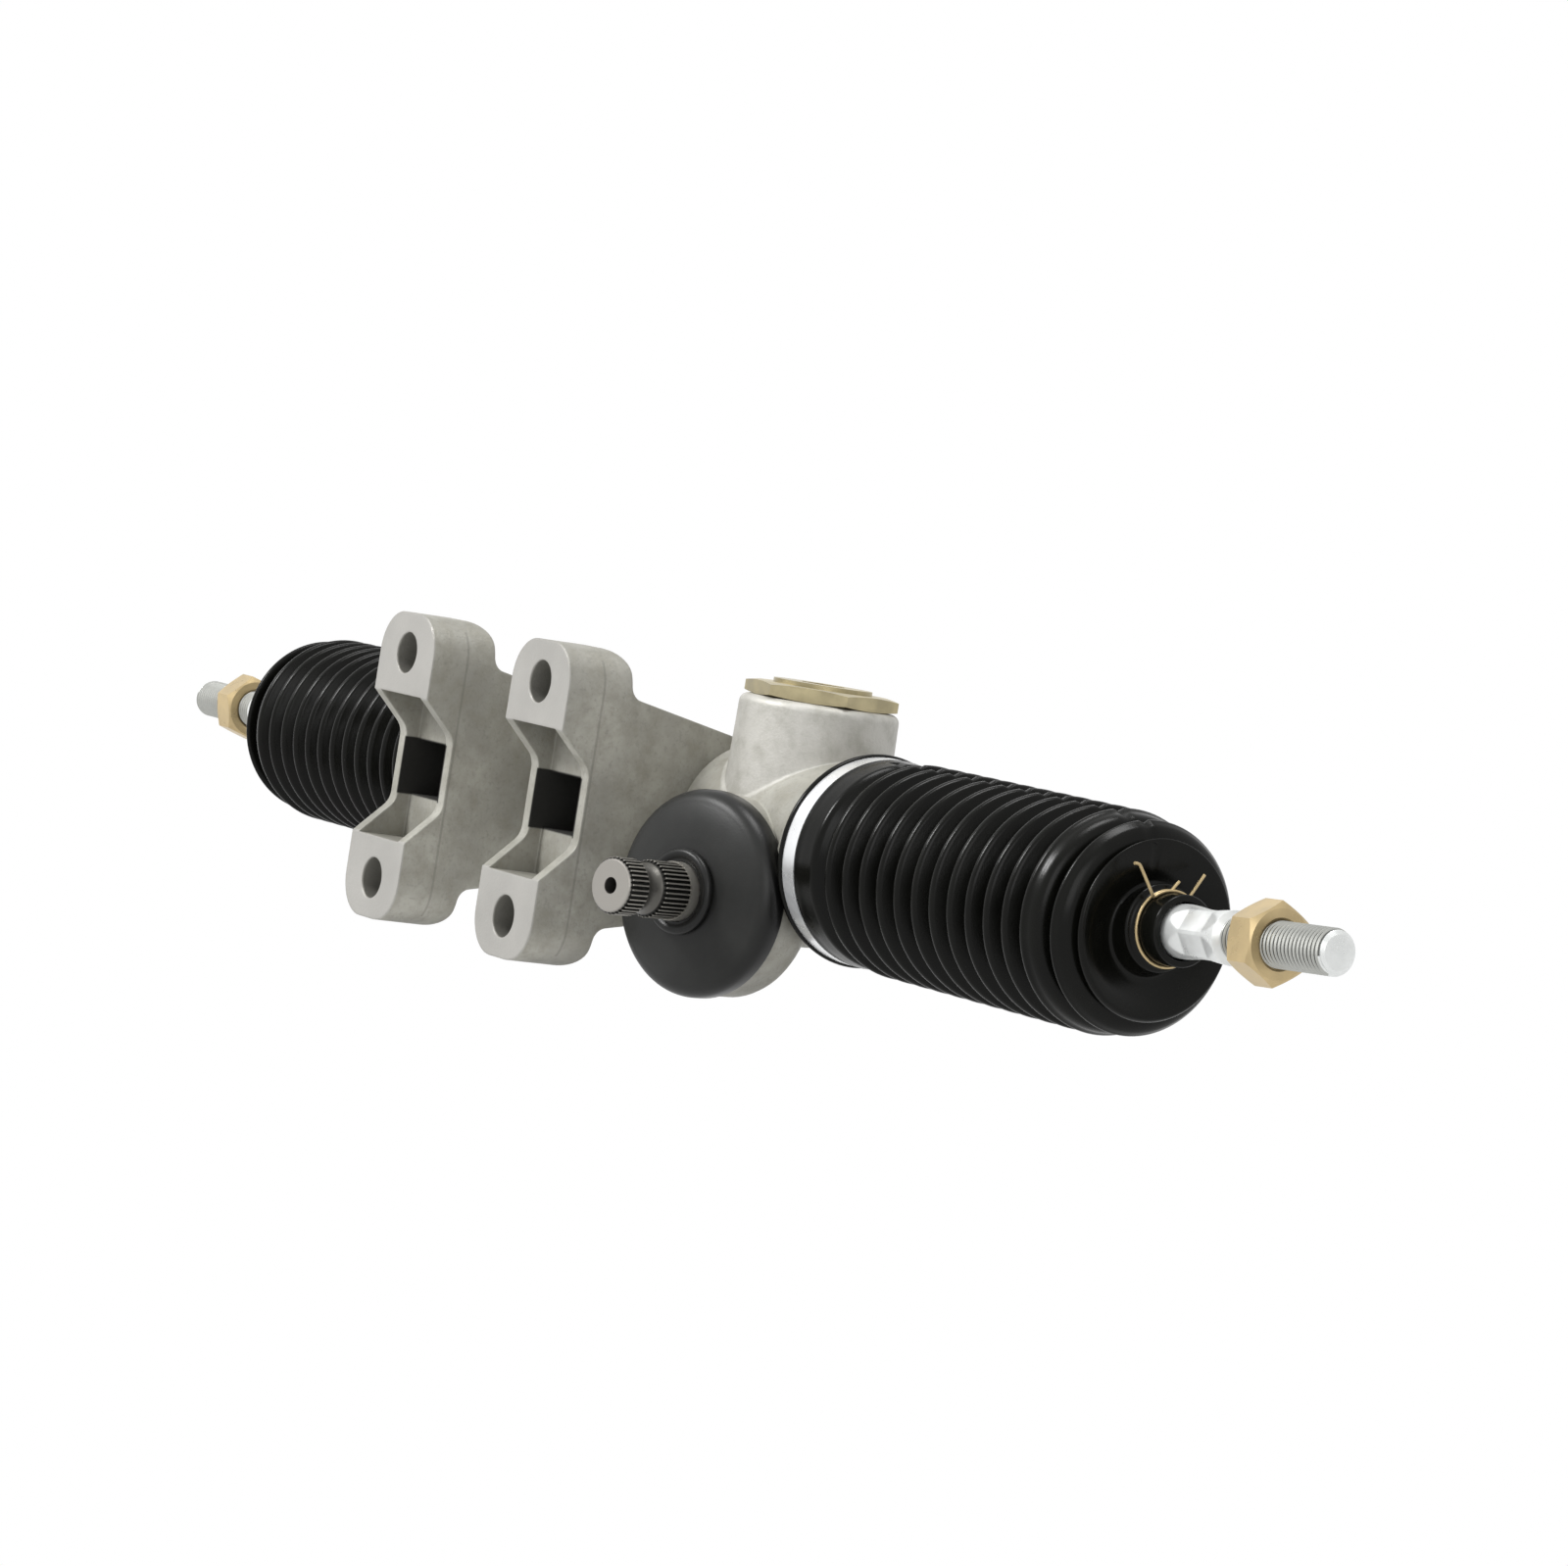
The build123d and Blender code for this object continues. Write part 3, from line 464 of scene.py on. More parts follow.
BALL_R = 11.0
BALL_NECK_R = 5.2
ROD_R = 7.0
ROD_NECK = ((14.5, BALL_NECK_R), (16.0, BALL_NECK_R), (18.0, ROD_R), (24.0, ROD_R))
ROD_END = 94.0
ROD_SMOOTHING = 25

# Where the flats are full, how they run out, and the closer points that carry them
FLATS = (37.0, 46.5)
RUN_OUT = 0.15
FLATS_LEAD = 5.5
FLATS_STEP = 0.4
FLATS_POINTS = 50

THREAD_START = 52.0
THREAD_STEPS = 48
THREAD_FOOT = ((-0.6, ROD_R), (0.4, 5.4), (1.0, 5.2), (1.0, 0))

# One turn of the thread: shares of its pitch and of its depth
TOOTH = ((0, 0), (0.08, 0), (0.25, 0.5), (0.42, 1), (0.58, 1), (0.75, 0.5), (0.92, 0), (1, 0))

# The chamfer of the tip and the thread's run-in: a size at the end, and the slope from there
TIP_DROP, TIP_SLOPE = 1.5, 1.1
RUN_IN_R, RUN_IN_SLOPE = 5.3, 0.35
TIP_LENGTH = 1.3


def rod_outline():
    """The ball, the neck and the plain part of a rod."""
    start = math.degrees(math.asin(BALL_NECK_R / BALL_R))
    points = rounded_corner(0, 0, BALL_R, 180, start, 24)
    points += ROD_NECK
    points += [(FLATS[0] - FLATS_LEAD + FLATS_STEP * i, ROD_R) for i in range(FLATS_POINTS)]
    return points + [(THREAD_START + x, radius) for x, radius in THREAD_FOOT]


def cut_flats(made, flats):
    """Six flats that run out into the round rod at both ends."""
    for vertex in made.data.vertices:
        x, y, z = vertex.co
        radius = math.hypot(y, z)
        if FLATS[0] - FLATS_LEAD < x < THREAD_START and radius > 1:
            angle = math.atan2(z, y) % (math.pi / 3) - math.pi / 6
            outside = max(FLATS[0] - x, x - FLATS[1], 0)
            limit = (flats / 2 + RUN_OUT * outside) / math.cos(angle)
            scale = min(limit / radius, 1)
            vertex.co = (x, y * scale, z * scale)


def thread_piece(name, thread):
    """The threaded end, as a true helix with a chamfered tip."""
    pitch = thread.pitch
    root = thread.outer - thread.depth
    start = THREAD_START - 2 * pitch
    turns = math.ceil((ROD_END - start) / pitch) + 2
    made = draw_outline(name, [(start + x * pitch, root + high * thread.depth) for x, high in TOOTH])
    bpy.ops.object.mode_set(mode="OBJECT")
    apply_modifier(
        made, "SCREW", axis="X", angle=math.tau, screw_offset=pitch, iterations=turns,
        steps=THREAD_STEPS, render_steps=THREAD_STEPS, use_merge_vertices=True, merge_threshold=MERGE_GAP)
    bpy.ops.object.mode_set(mode="EDIT")
    for x, side in ((THREAD_START + 0.2, 1), (ROD_END, -1)):
        bpy.ops.mesh.select_all(action="SELECT")
        bpy.ops.mesh.bisect(
            plane_co=(x, 0, 0), plane_no=(side, 0, 0), use_fill=True, clear_inner=True, threshold=1e-5)
    bpy.ops.object.mode_set(mode="OBJECT")
    for vertex in made.data.vertices:
        x, y, z = vertex.co
        radius = math.hypot(y, z)
        limit = thread.outer - TIP_DROP + (ROD_END - x) * TIP_SLOPE
        limit = min(limit, RUN_IN_R + (x - THREAD_START) * RUN_IN_SLOPE)
        if radius > limit:
            vertex.co = (x, y * limit / radius, z * limit / radius)
    bpy.ops.object.mode_set(mode="EDIT")
    bpy.ops.mesh.select_all(action="SELECT")
    bpy.ops.mesh.remove_doubles(threshold=MERGE_GAP)
    bpy.ops.mesh.normals_make_consistent(inside=False)
    bpy.ops.object.mode_set(mode="OBJECT")
    # Faces low in the thread's root take the darker material as painted shade; faces at the tip take plain zinc.
    for face in made.data.polygons:
        if face.center.x > ROD_END - TIP_LENGTH:
            face.material_index = 2
        elif math.hypot(face.center.y, face.center.z) < root + 0.5 * thread.depth:
            face.material_index = 1
    return made


# Wire clips. Angles are in degrees, and the ears are steps from the wire's ends.

CLIP_SETBACK = 6.4
CLIP_GAP = 0.05
CLIP_START = 130
CLIP_SWEEP = 432
CLIP_LEAD = 1.3
CLIP_STEPS = 60
CLIP_SMOOTHING = 60
EAR_ONE = ((0.3, -7.4, 8.0), (0.3, -6.0, 8.1), (0.3, -5.2, 7.2), (0.3, -1.0, 1.2))
EAR_TWO = ((0.4, 0.7, 1.0), (0.4, 3.6, 5.6), (0.4, 4.2, 6.5))
EAR_THREE = ((0.2, 1.0, 1.4), (0.4, 1.9, 2.6))
EAR_THREE_AT = (92, -1.0)


def clip_routes(thread):
    """The wire's route round the neck with an ear at each end, and a short third ear."""
    radius = NECK_R + thread.wire + CLIP_GAP

    def on_ring(degrees, x):
        angle = math.radians(degrees)
        return Vector((x, radius * math.cos(angle), radius * math.sin(angle)))

    def ear(start, steps):
        return [start + Vector(step) for step in steps]

    shares = [i / CLIP_STEPS for i in range(CLIP_STEPS + 1)]
    ring = [on_ring(CLIP_START - CLIP_SWEEP * share, -CLIP_LEAD * share) for share in shares]
    third = on_ring(*EAR_THREE_AT)
    return [ear(ring[0], EAR_ONE) + ring + ear(ring[-1], EAR_TWO), [third, *ear(third, EAR_THREE)]]


def wire_piece(name, routes, radius):
    """Round wires along routes, as one mesh."""
    select_none()
    bpy.ops.curve.primitive_nurbs_path_add()
    made = name_object(name)
    curve = made.data
    curve.splines.clear()
    for points in routes:
        spline = curve.splines.new("NURBS")
        spline.points.add(len(points) - 1)
        for point, place in zip(spline.points, points):
            point.co = (*place, 1)
        spline.order_u = 3
        spline.use_endpoint_u = True
    curve.resolution_u = 3
    curve.bevel_depth = radius
    curve.bevel_resolution = 4
    curve.use_fill_caps = True
    bpy.ops.object.convert(target="MESH")
    return bpy.context.object


# Finishes


def new_finish(name, roughness, metallic=0.0):
    """A material with its nodes, its shader and its object coordinates."""
    material = bpy.data.materials.new(name)
    material.use_nodes = True
    tree = material.node_tree
    shader = tree.nodes["Principled BSDF"]
    shader.inputs["Roughness"].default_value = roughness
    shader.inputs["Metallic"].default_value = metallic
    coordinates = tree.nodes.new("ShaderNodeTexCoord")
    return material, tree, shader, coordinates.outputs["Object"]


def noise(tree, place, scale, detail=4.0, roughness=0.55):
    """A noise pattern, with its scale in features a metre."""
    node = tree.nodes.new("ShaderNodeTexNoise")
    node.inputs["Scale"].default_value = scale
    node.inputs["Detail"].default_value = detail
    node.inputs["Roughness"].default_value = roughness
    tree.links.new(place, node.inputs["Vector"])
    return node.outputs["Fac"]


def between(tree, value, low, high, out_low=0.0, out_high=1.0):
    """Map a value from one range to another, and keep it there."""
    node = tree.nodes.new("ShaderNodeMapRange")
    node.inputs["From Min"].default_value = low
    node.inputs["From Max"].default_value = high
    node.inputs["To Min"].default_value = out_low
    node.inputs["To Max"].default_value = out_high
    tree.links.new(value, node.inputs["Value"])
    return node.outputs["Result"]


def feed(tree, socket, value):
    """Link another socket to this one, or give it a value of its own."""
    if isinstance(value, bpy.types.NodeSocket):
        tree.links.new(value, socket)
    else:
        socket.default_value = value


def mixed(tree, share, first, second):
    """Two colours, each as a link or as three numbers, mixed by a share."""
    node = tree.nodes.new("ShaderNodeMix")
    node.data_type = "RGBA"
    tree.links.new(share, node.inputs["Factor"])
    for socket, value in ((node.inputs[6], first), (node.inputs[7], second)):
        feed(tree, socket, value if isinstance(value, bpy.types.NodeSocket) else (*value, 1))
    return node.outputs[2]


def scaled(colour, factor):
    """A colour made darker or lighter."""
    return tuple(min(channel * factor, 1) for channel in colour)


def add_bump(tree, shader, height, strength, distance):
    """Raise the surface by a pattern."""
    node = tree.nodes.new("ShaderNodeBump")
    node.inputs["Strength"].default_value = strength
    node.inputs["Distance"].default_value = distance
    tree.links.new(height, node.inputs["Height"])
    tree.links.new(node.outputs["Normal"], shader.inputs["Normal"])
    return node


def calculated(tree, operation, *values):
    """The result of one calculation with links and numbers."""
    node = tree.nodes.new("ShaderNodeMath")
    node.operation = operation
    for socket, value in zip(node.inputs, values):
        feed(tree, socket, value)
    return node.outputs[0]


def product(tree, *values):
    """Some values times each other."""
    result = values[0]
    for value in values[1:]:
        result = calculated(tree, "MULTIPLY", result, value)
    return result


def away(tree, value, place):
    """How far a coordinate is from a place."""
    return calculated(tree, "ABSOLUTE", calculated(tree, "SUBTRACT", value, place))


def aside(tree, value, middle):
    """How far the size of a coordinate is from a place, on both sides of the part."""
    return away(tree, away(tree, value, 0.0), middle)


def spread(tree, first, second):
    """The length of two distances at right angles."""
    total = calculated(tree, "ADD", product(tree, first, first), product(tree, second, second))
    return calculated(tree, "POWER", total, 0.5)


def above(tree, value, edge, soft, strength=1.0):
    """A share that rises from 0 at an edge to its strength above it."""
    return between(tree, value, edge, edge + soft, 0, strength)


def below(tree, value, edge, soft, strength=1.0):
    """A share that rises from 0 at an edge to its strength below it."""
    return between(tree, value, edge, edge - soft, 0, strength)


def vector_maths(tree, operation, *values):
    """A node for one calculation with vectors, each as a link or as three numbers."""
    node = tree.nodes.new("ShaderNodeVectorMath")
    node.operation = operation
    for socket, value in zip(node.inputs, values):
        feed(tree, socket, value)
    return node


# Places on the casting, in metres. The brackets stand at both sides of X = 0.
MOUNT_X = 0.0405
MOUNT_Z = 0.0335
HOLE_R = 0.0064
MILLED_DEPTH = 0.0006
HOLLOW_HALF_X = 0.0134
HOLLOW_HALF_Z = 0.0088
HOLLOW_FRONT = 0.004
PARTING_Y = 0.0115
PARTING_ACROSS = (0.0125, 0.02)
BOSS_R = 0.0238
BOSS_FOOT = 0.004
EDGE_R = 0.0009

STAIN_COLOUR = (0.245, 0.236, 0.195)
# Painted light for the plug boss.
BOSS_LIGHT_COLOUR = (0.52, 0.51, 0.475)
# Painted shade for the bolt holes.
BORE_SHADE_COLOUR = (0.19, 0.185, 0.165)


def worn_and_highlit_edges(tree):
    """The normal with rounded edges, and the share of wear and painted highlight on them."""
    rounding = tree.nodes.new("ShaderNodeBevel")
    rounding.samples = 4
    rounding.inputs["Radius"].default_value = EDGE_R
    flat = tree.nodes.new("ShaderNodeNewGeometry")
    turn = vector_maths(tree, "DOT_PRODUCT", rounding.outputs[0], flat.outputs["True Normal"])
    return rounding.outputs[0], between(tree, turn.outputs["Value"], 0.96, 0.8, 0, 0.35)


def painted_hollow_shade(tree, across, y, z):
    """The share of shade deep in the brackets, in front of the bar."""
    bar_y = JOINTS["right_rod_yaw"]["pos_m"][1]
    narrow = below(tree, across, HOLLOW_HALF_X, 0.0005)
    low = below(tree, away(tree, z, 0.0), HOLLOW_HALF_Z, 0.0005)
    return product(tree, narrow, low, above(tree, y, HOLLOW_FRONT, 0.006), below(tree, y, bar_y, 0.002))


def on_parting_line(tree, across, y):
    """The share of the faint line that the mould left on the ears."""
    start, end = PARTING_ACROSS
    line = below(tree, away(tree, y, PARTING_Y), 0.0005, 0.0003, 0.35)
    return product(tree, line, above(tree, across, start, 0.0003), below(tree, across, end, 0.001))


def painted_boss_light(tree, x, y, z):
    """The share of the plug boss above its foot, which is painted lighter as painted light."""
    plug = JOINTS["pinion_spin"]["pos_m"]
    from_plug = spread(tree, away(tree, x, plug[0]), away(tree, y, plug[1]))
    return product(tree, below(tree, from_plug, BOSS_R + 0.0006, 0.0006), above(tree, z, BOSS_FOOT, 0.01))


def shade_in_bolt_holes(tree, across, y, z):
    """The share of the bolt holes' walls, which are painted darker as painted shade."""
    from_hole = spread(tree, across, aside(tree, z, MOUNT_Z))
    return product(tree, below(tree, from_hole, HOLE_R, 0.0002), above(tree, y, 0.0003, 0.0005))


def casting_finish(colours):
    """Cast aluminium with machined faces, painted shade in the brackets' hollows and bolt holes, painted light on
    the plug boss, and edges lighter for wear and painted highlight.
    """
    material, tree, shader, place = new_finish("Cast aluminium", 0.5, 0.3)
    split = tree.nodes.new("ShaderNodeSeparateXYZ")
    tree.links.new(place, split.inputs[0])
    x, y, z = split.outputs
    across = aside(tree, x, MOUNT_X)
    blotch = between(tree, noise(tree, place, 38, 5), 0.35, 0.65)
    stain = between(tree, noise(tree, place, 130, 6, 0.65), 0.4, 0.68, 0, 0.8)
    speck = between(tree, noise(tree, place, 800, 3), 0.35, 0.7)
    front = below(tree, y, MILLED_DEPTH, 0.0004)
    milled = mixed(tree, blotch, scaled(colours.machined, 0.93), scaled(colours.machined, 1.07))
    rounded, wear_and_highlight = worn_and_highlit_edges(tree)
    hollow_shade = painted_hollow_shade(tree, across, y, z)
    boss = product(tree, painted_boss_light(tree, x, y, z), between(tree, stain, 0, 0.8, 0.9, 0.4))

    skin = mixed(tree, blotch, scaled(colours.casting, 0.82), scaled(colours.casting, 1.14))
    skin = mixed(tree, stain, skin, STAIN_COLOUR)
    skin = mixed(tree, above(tree, speck, 0.55, 0.45, 0.4), skin, scaled(colours.casting, 0.6))
    skin = mixed(tree, front, skin, milled)
    # The edges are painted lighter, partly wear and partly painted highlight.
    skin = mixed(tree, wear_and_highlight, skin, scaled(colours.casting, 1.6))
    # Painted shade: the brackets' hollows are painted nearly black.
    skin = mixed(tree, hollow_shade, skin, scaled(colours.casting, 0.07))
    skin = mixed(tree, on_parting_line(tree, across, y), skin, scaled(colours.casting, 0.35))
    # Painted light: the plug boss is painted lighter, as if lit more strongly.
    skin = mixed(tree, boss, skin, BOSS_LIGHT_COLOUR)
    # Painted shade: the bolt holes' walls are painted darker.
    skin = mixed(tree, shade_in_bolt_holes(tree, across, y, z), skin, BORE_SHADE_COLOUR)
    tree.links.new(skin, shader.inputs["Base Color"])
    rough = calculated(tree, "MAXIMUM", between(tree, front, 0, 1, 0.5, 0.4), hollow_shade)
    tree.links.new(rough, shader.inputs["Roughness"])
    bump = add_bump(tree, shader, noise(tree, place, 1200, 4), 0.3, 0.0004)
    tree.links.new(rounded, bump.inputs["Normal"])
    return material


def rubber_finish(name, colour, roughness, shine):
    """Moulded rubber with a faint bloom."""
    material, tree, shader, place = new_finish(name, roughness)
    shader.inputs["Specular IOR Level"].default_value = shine
    bloom = between(tree, noise(tree, place, 70, 5), 0.4, 0.75)
    rough = between(tree, bloom, 0, 1, roughness - 0.04, roughness + 0.08)
    tree.links.new(mixed(tree, bloom, colour, scaled(colour, 1.6)), shader.inputs["Base Color"])
    tree.links.new(rough, shader.inputs["Roughness"])
    add_bump(tree, shader, noise(tree, place, 2200, 3), 0.08, 0.0002)
    return material


def plated_finish(name, colour, roughness, streak=1.0, metallic=0.6):
    """Plated steel with small changes of tone."""
    material, tree, shader, place = new_finish(name, roughness, metallic)
    cloud = between(tree, noise(tree, place, 120, 4), 0.35, 0.65)
    tone = mixed(tree, cloud, scaled(colour, 1 - 0.12 * streak), scaled(colour, 1 + 0.1 * streak))
    rough = between(tree, cloud, 0, 1, roughness - 0.05, roughness + 0.06)
    tree.links.new(tone, shader.inputs["Base Color"])
    tree.links.new(rough, shader.inputs["Roughness"])
    return material


def pinion_coordinates(tree, place):
    """The distance along the pinion's axis, and the distance from it."""
    joint = JOINTS["pinion_spin"]
    axis = Vector(joint["axis"]).normalized()
    local = vector_maths(tree, "SUBTRACT", place, joint["pos_m"]).outputs[0]
    along = vector_maths(tree, "DOT_PRODUCT", local, axis)
    cross = vector_maths(tree, "CROSS_PRODUCT", local, axis)
    radius = vector_maths(tree, "LENGTH", cross.outputs[0])
    return along.outputs["Value"], radius.outputs["Value"]


# Places on the dust cover and the input shaft, in metres
COVER_FACE_ALONG = 0.036
COVER_LIP_RADII = (0.0105, 0.016)
SHAFT_FACE_ALONG = 0.0712
SHAFT_CREST_R = 0.0077
SHAFT_GROOVE_RADII = (0.007, 0.0078)


def cover_finish(colours):
    """Rubber with a grey bloom on its face, darker towards the shaft lip, and painted black shade on its flank."""
    material, tree, shader, place = new_finish("Cover rubber", 0.42)
    shader.inputs["Specular IOR Level"].default_value = 0.25
    along, radius = pinion_coordinates(tree, place)
    # The share is 0 on the flank, which is painted black as painted shade, and falls towards the shaft lip.
    bloom = product(
        tree, between(tree, noise(tree, place, 70, 5), 0.35, 0.75, 0.55, 1),
        above(tree, along, COVER_FACE_ALONG, 0.0045), between(tree, radius, *COVER_LIP_RADII, 0.4, 1))
    tree.links.new(mixed(tree, bloom, (0.004, 0.004, 0.004), colours.cover), shader.inputs["Base Color"])
    tree.links.new(between(tree, bloom, 0, 1, 0.3, 0.46), shader.inputs["Roughness"])
    add_bump(tree, shader, noise(tree, place, 1800, 3), 0.12, 0.0002)
    return material


def shaft_finish(colours):
    """Dark steel, brighter on its end face, with a painted highlight on the tips of its teeth and painted shade in
    each groove between them.
    """
    material, tree, shader, place = new_finish("Shaft steel", 0.4, 0.7)
    along, radius = pinion_coordinates(tree, place)
    face = above(tree, along, SHAFT_FACE_ALONG, 0.0005)
    # Painted highlight: the tips of the teeth are painted brighter.
    crest = above(tree, radius, SHAFT_CREST_R, 0.0002, 0.8)
    root, tip = SHAFT_GROOVE_RADII
    # Painted shade: each groove between the teeth is painted nearly black.
    groove_shade = product(tree, above(tree, radius, root, 0.0002), below(tree, radius, tip, 0.00015))
    tone = mixed(tree, crest, colours.steel, scaled(colours.steel, 3.4))
    tone = mixed(tree, groove_shade, tone, (0.01, 0.0095, 0.008))
    tone = mixed(tree, face, tone, (0.32, 0.305, 0.28))
    tree.links.new(tone, shader.inputs["Base Color"])
    add_bump(tree, shader, noise(tree, place, 1500, 3), 0.15, 0.0002)
    return material


def dress(made, *materials):
    """Give an object its materials."""
    indices = [face.material_index for face in made.data.polygons]
    made.data.materials.clear()
    for material in materials:
        made.data.materials.append(material)
    for face, index in zip(made.data.polygons, indices):
        face.material_index = min(index, len(materials) - 1)


def finish(name):
    """A finished material, made the first time it is asked for."""
    colours = bpy.context.scene.rack_finishes
    makers = {
        "Cast aluminium": lambda: casting_finish(colours),
        "Boot rubber": lambda: rubber_finish("Boot rubber", colours.rubber, 0.25, 0.14),
        "Cover rubber": lambda: cover_finish(colours),
        "Zinc plate": lambda: plated_finish("Zinc plate", colours.zinc, 0.32, 0.6),
        "Thread crest": lambda: plated_finish("Thread crest", colours.thread, 0.36, 0.6),
        # Painted shade for the thread's root.
        "Thread root shade": lambda: plated_finish("Thread root shade", scaled(colours.thread, 0.25), 0.5, 0.6),
        "Yellow zinc": lambda: plated_finish("Yellow zinc", colours.yellow, 0.3),
        "Dull zinc": lambda: plated_finish("Dull zinc", (0.4, 0.345, 0.205), 0.34, 1.6),
        "Bright band": lambda: plated_finish("Bright band", (0.86, 0.87, 0.88), 0.3, 0.2, 0.7),
        "Shaft steel": lambda: shaft_finish(colours),
        "Inner steel": lambda: plated_finish("Inner steel", (0.42, 0.42, 0.42), 0.3),
        "Nylon": lambda: rubber_finish("Nylon", (0.62, 0.6, 0.52), 0.45, 0.5),
        "Bronze": lambda: plated_finish("Bronze", (0.6, 0.4, 0.2), 0.4),
    }
    return bpy.data.materials.get(name) or makers[name]()


SLOT_FINISH = {
    "cast_aluminium": "Cast aluminium",
    "nylon": "Nylon",
    "black_rubber": "Boot rubber",
    "grey_rubber": "Cover rubber",
    "yellow_zinc": "Yellow zinc",
    "yellow_wire": "Yellow zinc",
    "zinc_plate": "Zinc plate",
    "bright_steel": "Bright band",
    "shaft_steel": "Shaft steel",
    "bearing_steel": "Inner steel",
    "spring_steel": "Inner steel",
    "bronze": "Bronze",
}
NODE_FINISH = {
    "yoke_lock_nut": "Dull zinc",
    "yoke_adjuster_plug": "Dull zinc",
}


# Operators


class STEERING_OT_finish_solids(bpy.types.Operator):
    """Give every solid of the frame its finish"""

    bl_idname = "steering.finish_solids"
    bl_label = "Finish the solids"

    def execute(self, context):
        for part in frame["record"]["subparts"]:
            name = NODE_FINISH.get(part["node"], SLOT_FINISH[part["material_slot"]])
            dress(frame["nodes"][part["node"]], finish(name))
        return {"FINISHED"}


class STEERING_OT_rubber_boots(bpy.types.Operator):
    """Model both rubber boots over the ball joints"""

    bl_idname = "steering.rubber_boots"
    bl_label = "Rubber boots"

    def execute(self, context):
        for side in SIDES:
            make_boot(side, context.scene.rack_boots, finish("Boot rubber"))
        return {"FINISHED"}


class STEERING_OT_dust_cover(bpy.types.Operator):
    """Model the rubber dust cover on the pinion housing"""

    bl_idname = "steering.dust_cover"
    bl_label = "Dust cover"

    def execute(self, context):
        made = turned("pinion_dust_cover", cover_outline())
        put(made, pinion_place(), COVER_SMOOTHING)
        dress(made, finish("Cover rubber"))
        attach(made, "housing")
        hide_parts("pinion_boot")
        return {"FINISHED"}


class STEERING_OT_tie_rods(bpy.types.Operator):
    """Model both tie rods with their flats and threads"""

    bl_idname = "steering.tie_rods"
    bl_label = "Tie rods"

    def execute(self, context):
        thread = context.scene.rack_threads
        for side in SIDES:
            rod = turned(side + "_rod_body", rod_outline())
            cut_flats(rod, thread.flats)
            put(rod, rod_place(side), ROD_SMOOTHING)
            screw = thread_piece(side + "_rod_thread", thread)
            put(screw, rod_place(side), ROD_SMOOTHING)
            dress(rod, finish("Zinc plate"))
            dress(screw, finish("Thread crest"), finish("Thread root shade"), finish("Zinc plate"))
            for made in (rod, screw):
                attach(made, side + "_rod")
            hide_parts(side + "_tie_rod")
        return {"FINISHED"}


class STEERING_OT_wire_clips(bpy.types.Operator):
    """Model the wire clips on the boots' necks"""

    bl_idname = "steering.wire_clips"
    bl_label = "Wire clips"

    def execute(self, context):
        thread = context.scene.rack_threads
        for side in SIDES:
            start = MOUTH - CLIP_SETBACK - ball_reach(side)
            made = wire_piece(side + "_wire_clip", clip_routes(thread), thread.wire)
            put(made, rod_place(side) @ Matrix.Translation((start * MM, 0, 0)), CLIP_SMOOTHING)
            dress(made, finish("Yellow zinc"))
            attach(made, side + "_rod")
            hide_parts(side + "_boot_clip")
        return {"FINISHED"}


def white_for_camera(tree, plain, kind, output):
    """Show plain white to the camera, metal and glass, and the given shader to the other rays."""
    path = tree.nodes.new("ShaderNodeLightPath")
    seen = path.outputs["Is Camera Ray"]
    for name in ("Is Glossy Ray", "Is Transmission Ray"):
        seen = calculated(tree, "MAXIMUM", seen, path.outputs[name])
    white = tree.nodes.new(kind)
    white.inputs["Color"].default_value = WHITE
    white.inputs["Strength"].default_value = 1
    mix = tree.nodes.new("ShaderNodeMixShader")
    tree.links.new(seen, mix.inputs[0])
    tree.links.new(plain.outputs[0], mix.inputs[1])
    tree.links.new(white.outputs[0], mix.inputs[2])
    tree.links.new(mix.outputs[0], tree.nodes[output].inputs["Surface"])


def light_world(strength):
    """A white surround."""
    world = bpy.data.worlds.new("Studio")
    bpy.context.scene.world = world
    world.use_nodes = True
    tree = world.node_tree
    plain = tree.nodes["Background"]
    plain.inputs["Color"].default_value = WHITE
    plain.inputs["Strength"].default_value = strength
    white_for_camera(tree, plain, "ShaderNodeBackground", "World Output")


def add_floor(level):
    """A white floor under the part."""
    select_none()
    bpy.ops.mesh.primitive_plane_add(size=FLOOR_SIZE, location=(0, 0, level))
    floor = name_object("studio_floor")
    material = bpy.data.materials.new("Studio white")
    material.use_nodes = True
    tree = material.node_tree
    shader = tree.nodes["Principled BSDF"]
    shader.inputs["Base Color"].default_value = FLOOR_COLOUR
    shader.inputs["Roughness"].default_value = 0.9
    white_for_camera(tree, shader, "ShaderNodeEmission", "Material Output")
    dress(floor, material)


def add_lamp(name, place, target, size, power):
    """A square soft lamp that points at a place."""
    select_none()
    bpy.ops.object.light_add(type="AREA", location=place)
    lamp = bpy.context.object
    lamp.name = name
    lamp.data.energy = power
    lamp.data.size = size
    lamp.rotation_euler = (Vector(target) - Vector(place)).to_track_quat("-Z", "Y").to_euler()


def add_camera():
    """The camera of the photograph."""
    select_none()
    bpy.ops.object.camera_add()
    camera = bpy.context.object
    right, down = Vector(CAMERA_RIGHT).normalized(), Vector(CAMERA_DOWN).normalized()
    turn = Matrix((right, -down, right.cross(-down))).transposed().to_4x4()
    camera.matrix_world = Matrix.Translation(CAMERA_PLACE) @ turn
    camera.data.lens = CAMERA_LENS
    camera.data.sensor_width = CAMERA_SENSOR
    camera.data.clip_start, camera.data.clip_end = CAMERA_RANGE
    bpy.context.scene.camera = camera


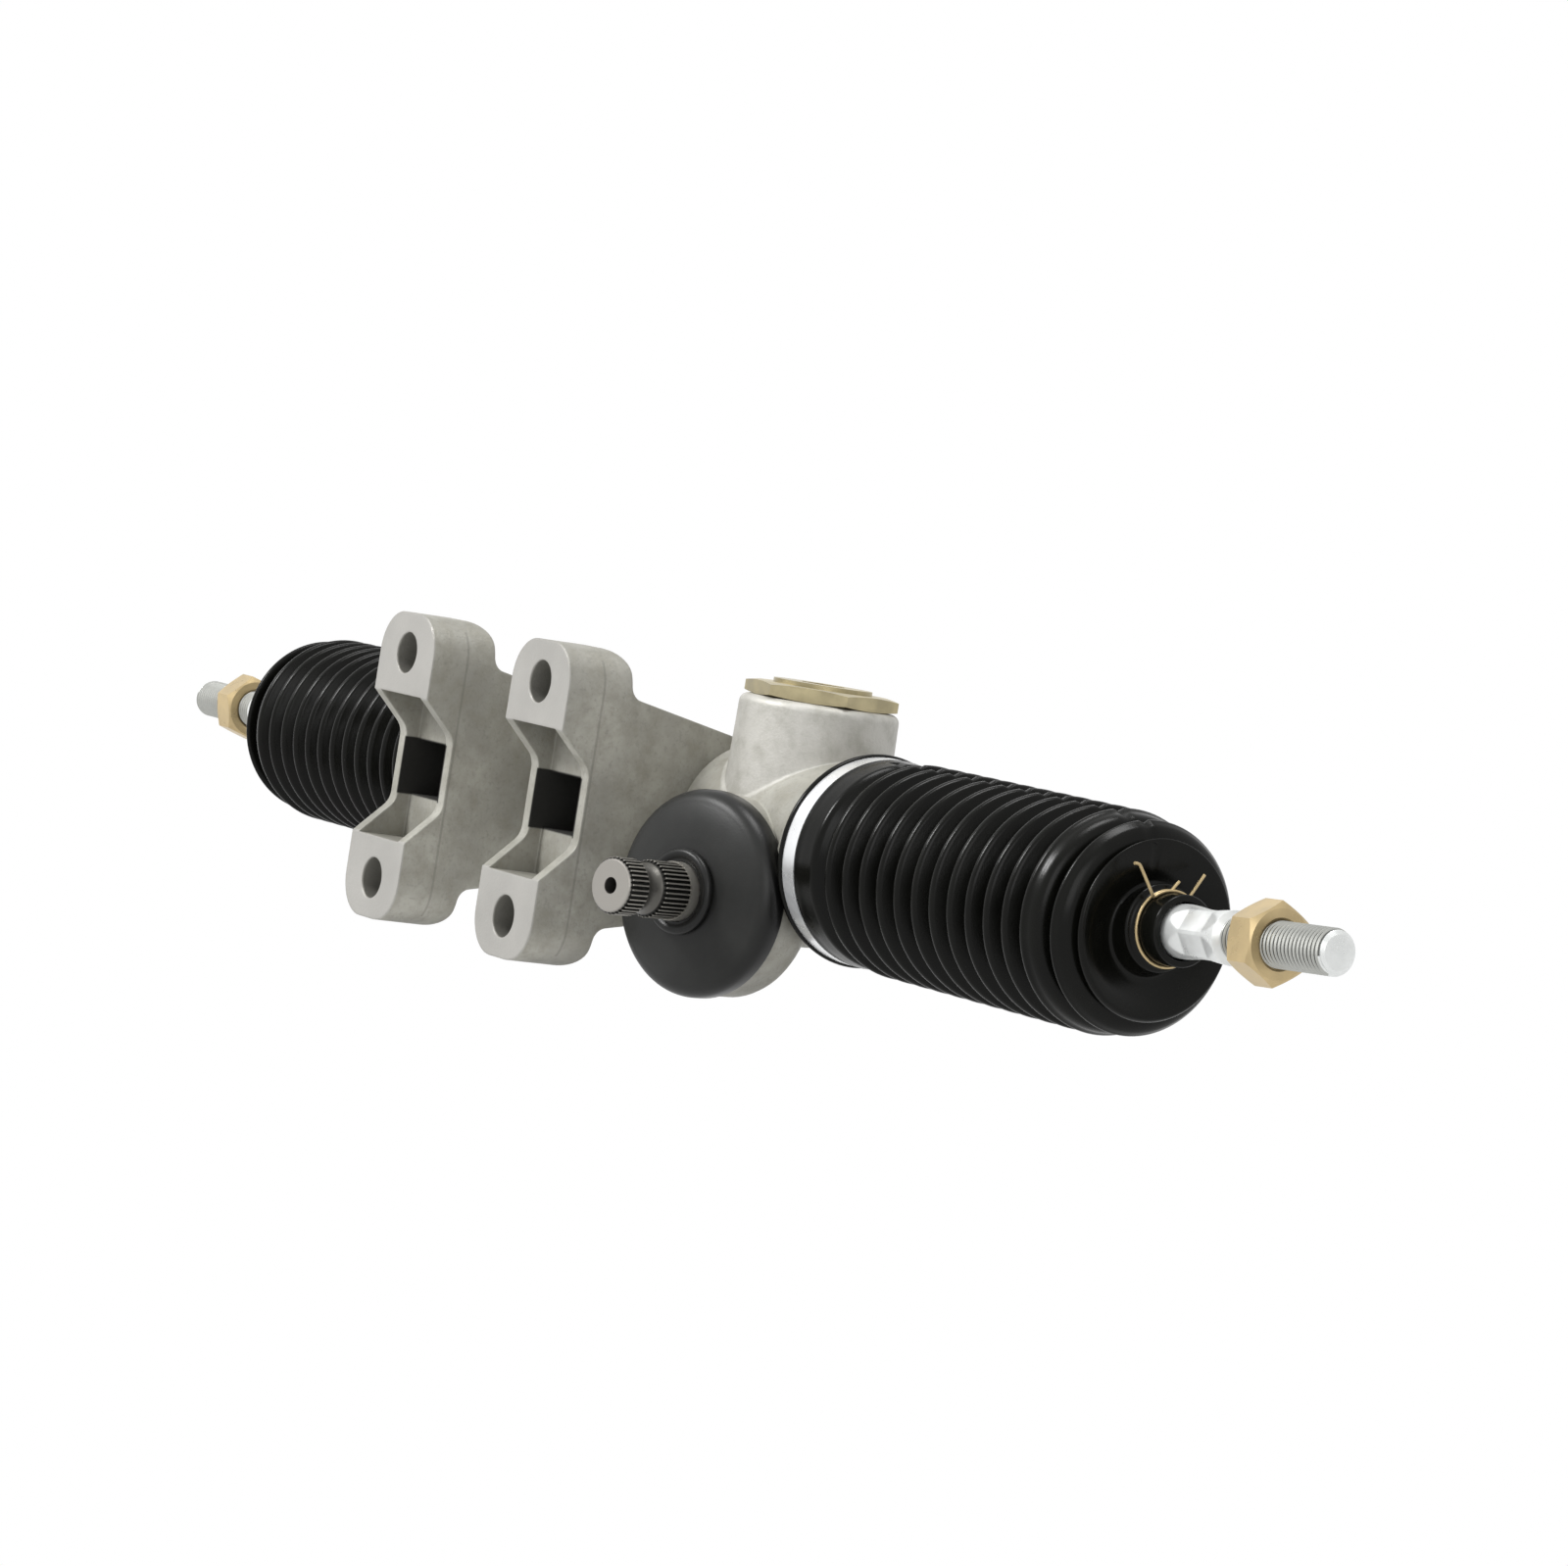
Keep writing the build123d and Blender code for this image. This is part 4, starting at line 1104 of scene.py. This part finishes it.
class STEERING_OT_stage(bpy.types.Operator):
    """Set up the floor, the lamps and the camera"""

    bl_idname = "steering.stage"
    bl_label = "Stage"

    def execute(self, context):
        studio = context.scene.rack_studio
        low, high = cad_box
        middle = (Vector(low) + Vector(high)) / 2
        light_world(studio.ambient)
        add_floor(low[2] - studio.floor_drop)
        for name, place, size, share in LAMPS:
            add_lamp(name, place, middle, size, share * studio.key)
        add_camera()
        context.scene.view_settings.view_transform = "Standard"
        return {"FINISHED"}


class STEERING_PT_rack(bpy.types.Panel):
    """Lists the pieces of the steering rack"""

    bl_idname = "STEERING_PT_rack"
    bl_label = "Steering Rack"
    bl_space_type = "VIEW_3D"
    bl_region_type = "UI"
    bl_category = "Steering Rack"

    def draw(self, context):
        for operator in OPERATORS:
            self.layout.operator(operator.bl_idname)
        for group in GROUPS:
            settings = getattr(context.scene, group)
            box = self.layout.box()
            for name in settings.__annotations__:
                box.prop(settings, name)


GROUPS = {
    "rack_boots": BootSettings,
    "rack_threads": ThreadSettings,
    "rack_finishes": FinishSettings,
    "rack_studio": StudioSettings,
}
OPERATORS = (
    STEERING_OT_finish_solids,
    STEERING_OT_rubber_boots,
    STEERING_OT_dust_cover,
    STEERING_OT_tie_rods,
    STEERING_OT_wire_clips,
    STEERING_OT_stage,
)


def register():
    """Register the classes and attach the settings to the scene."""
    for each in (*GROUPS.values(), *OPERATORS, STEERING_PT_rack):
        bpy.utils.register_class(each)
    for name, group in GROUPS.items():
        setattr(bpy.types.Scene, name, PointerProperty(type=group))


def unregister():
    """Undo what register does."""
    for name in GROUPS:
        delattr(bpy.types.Scene, name)
    for each in (STEERING_PT_rack, *reversed(OPERATORS), *reversed(list(GROUPS.values()))):
        bpy.utils.unregister_class(each)


def main():
    """Make every piece in order."""
    register()
    bpy.ops.steering.finish_solids()
    bpy.ops.steering.rubber_boots()
    bpy.ops.steering.dust_cover()
    bpy.ops.steering.tie_rods()
    bpy.ops.steering.wire_clips()
    bpy.ops.steering.stage()


if __name__ == "__main__":
    main()
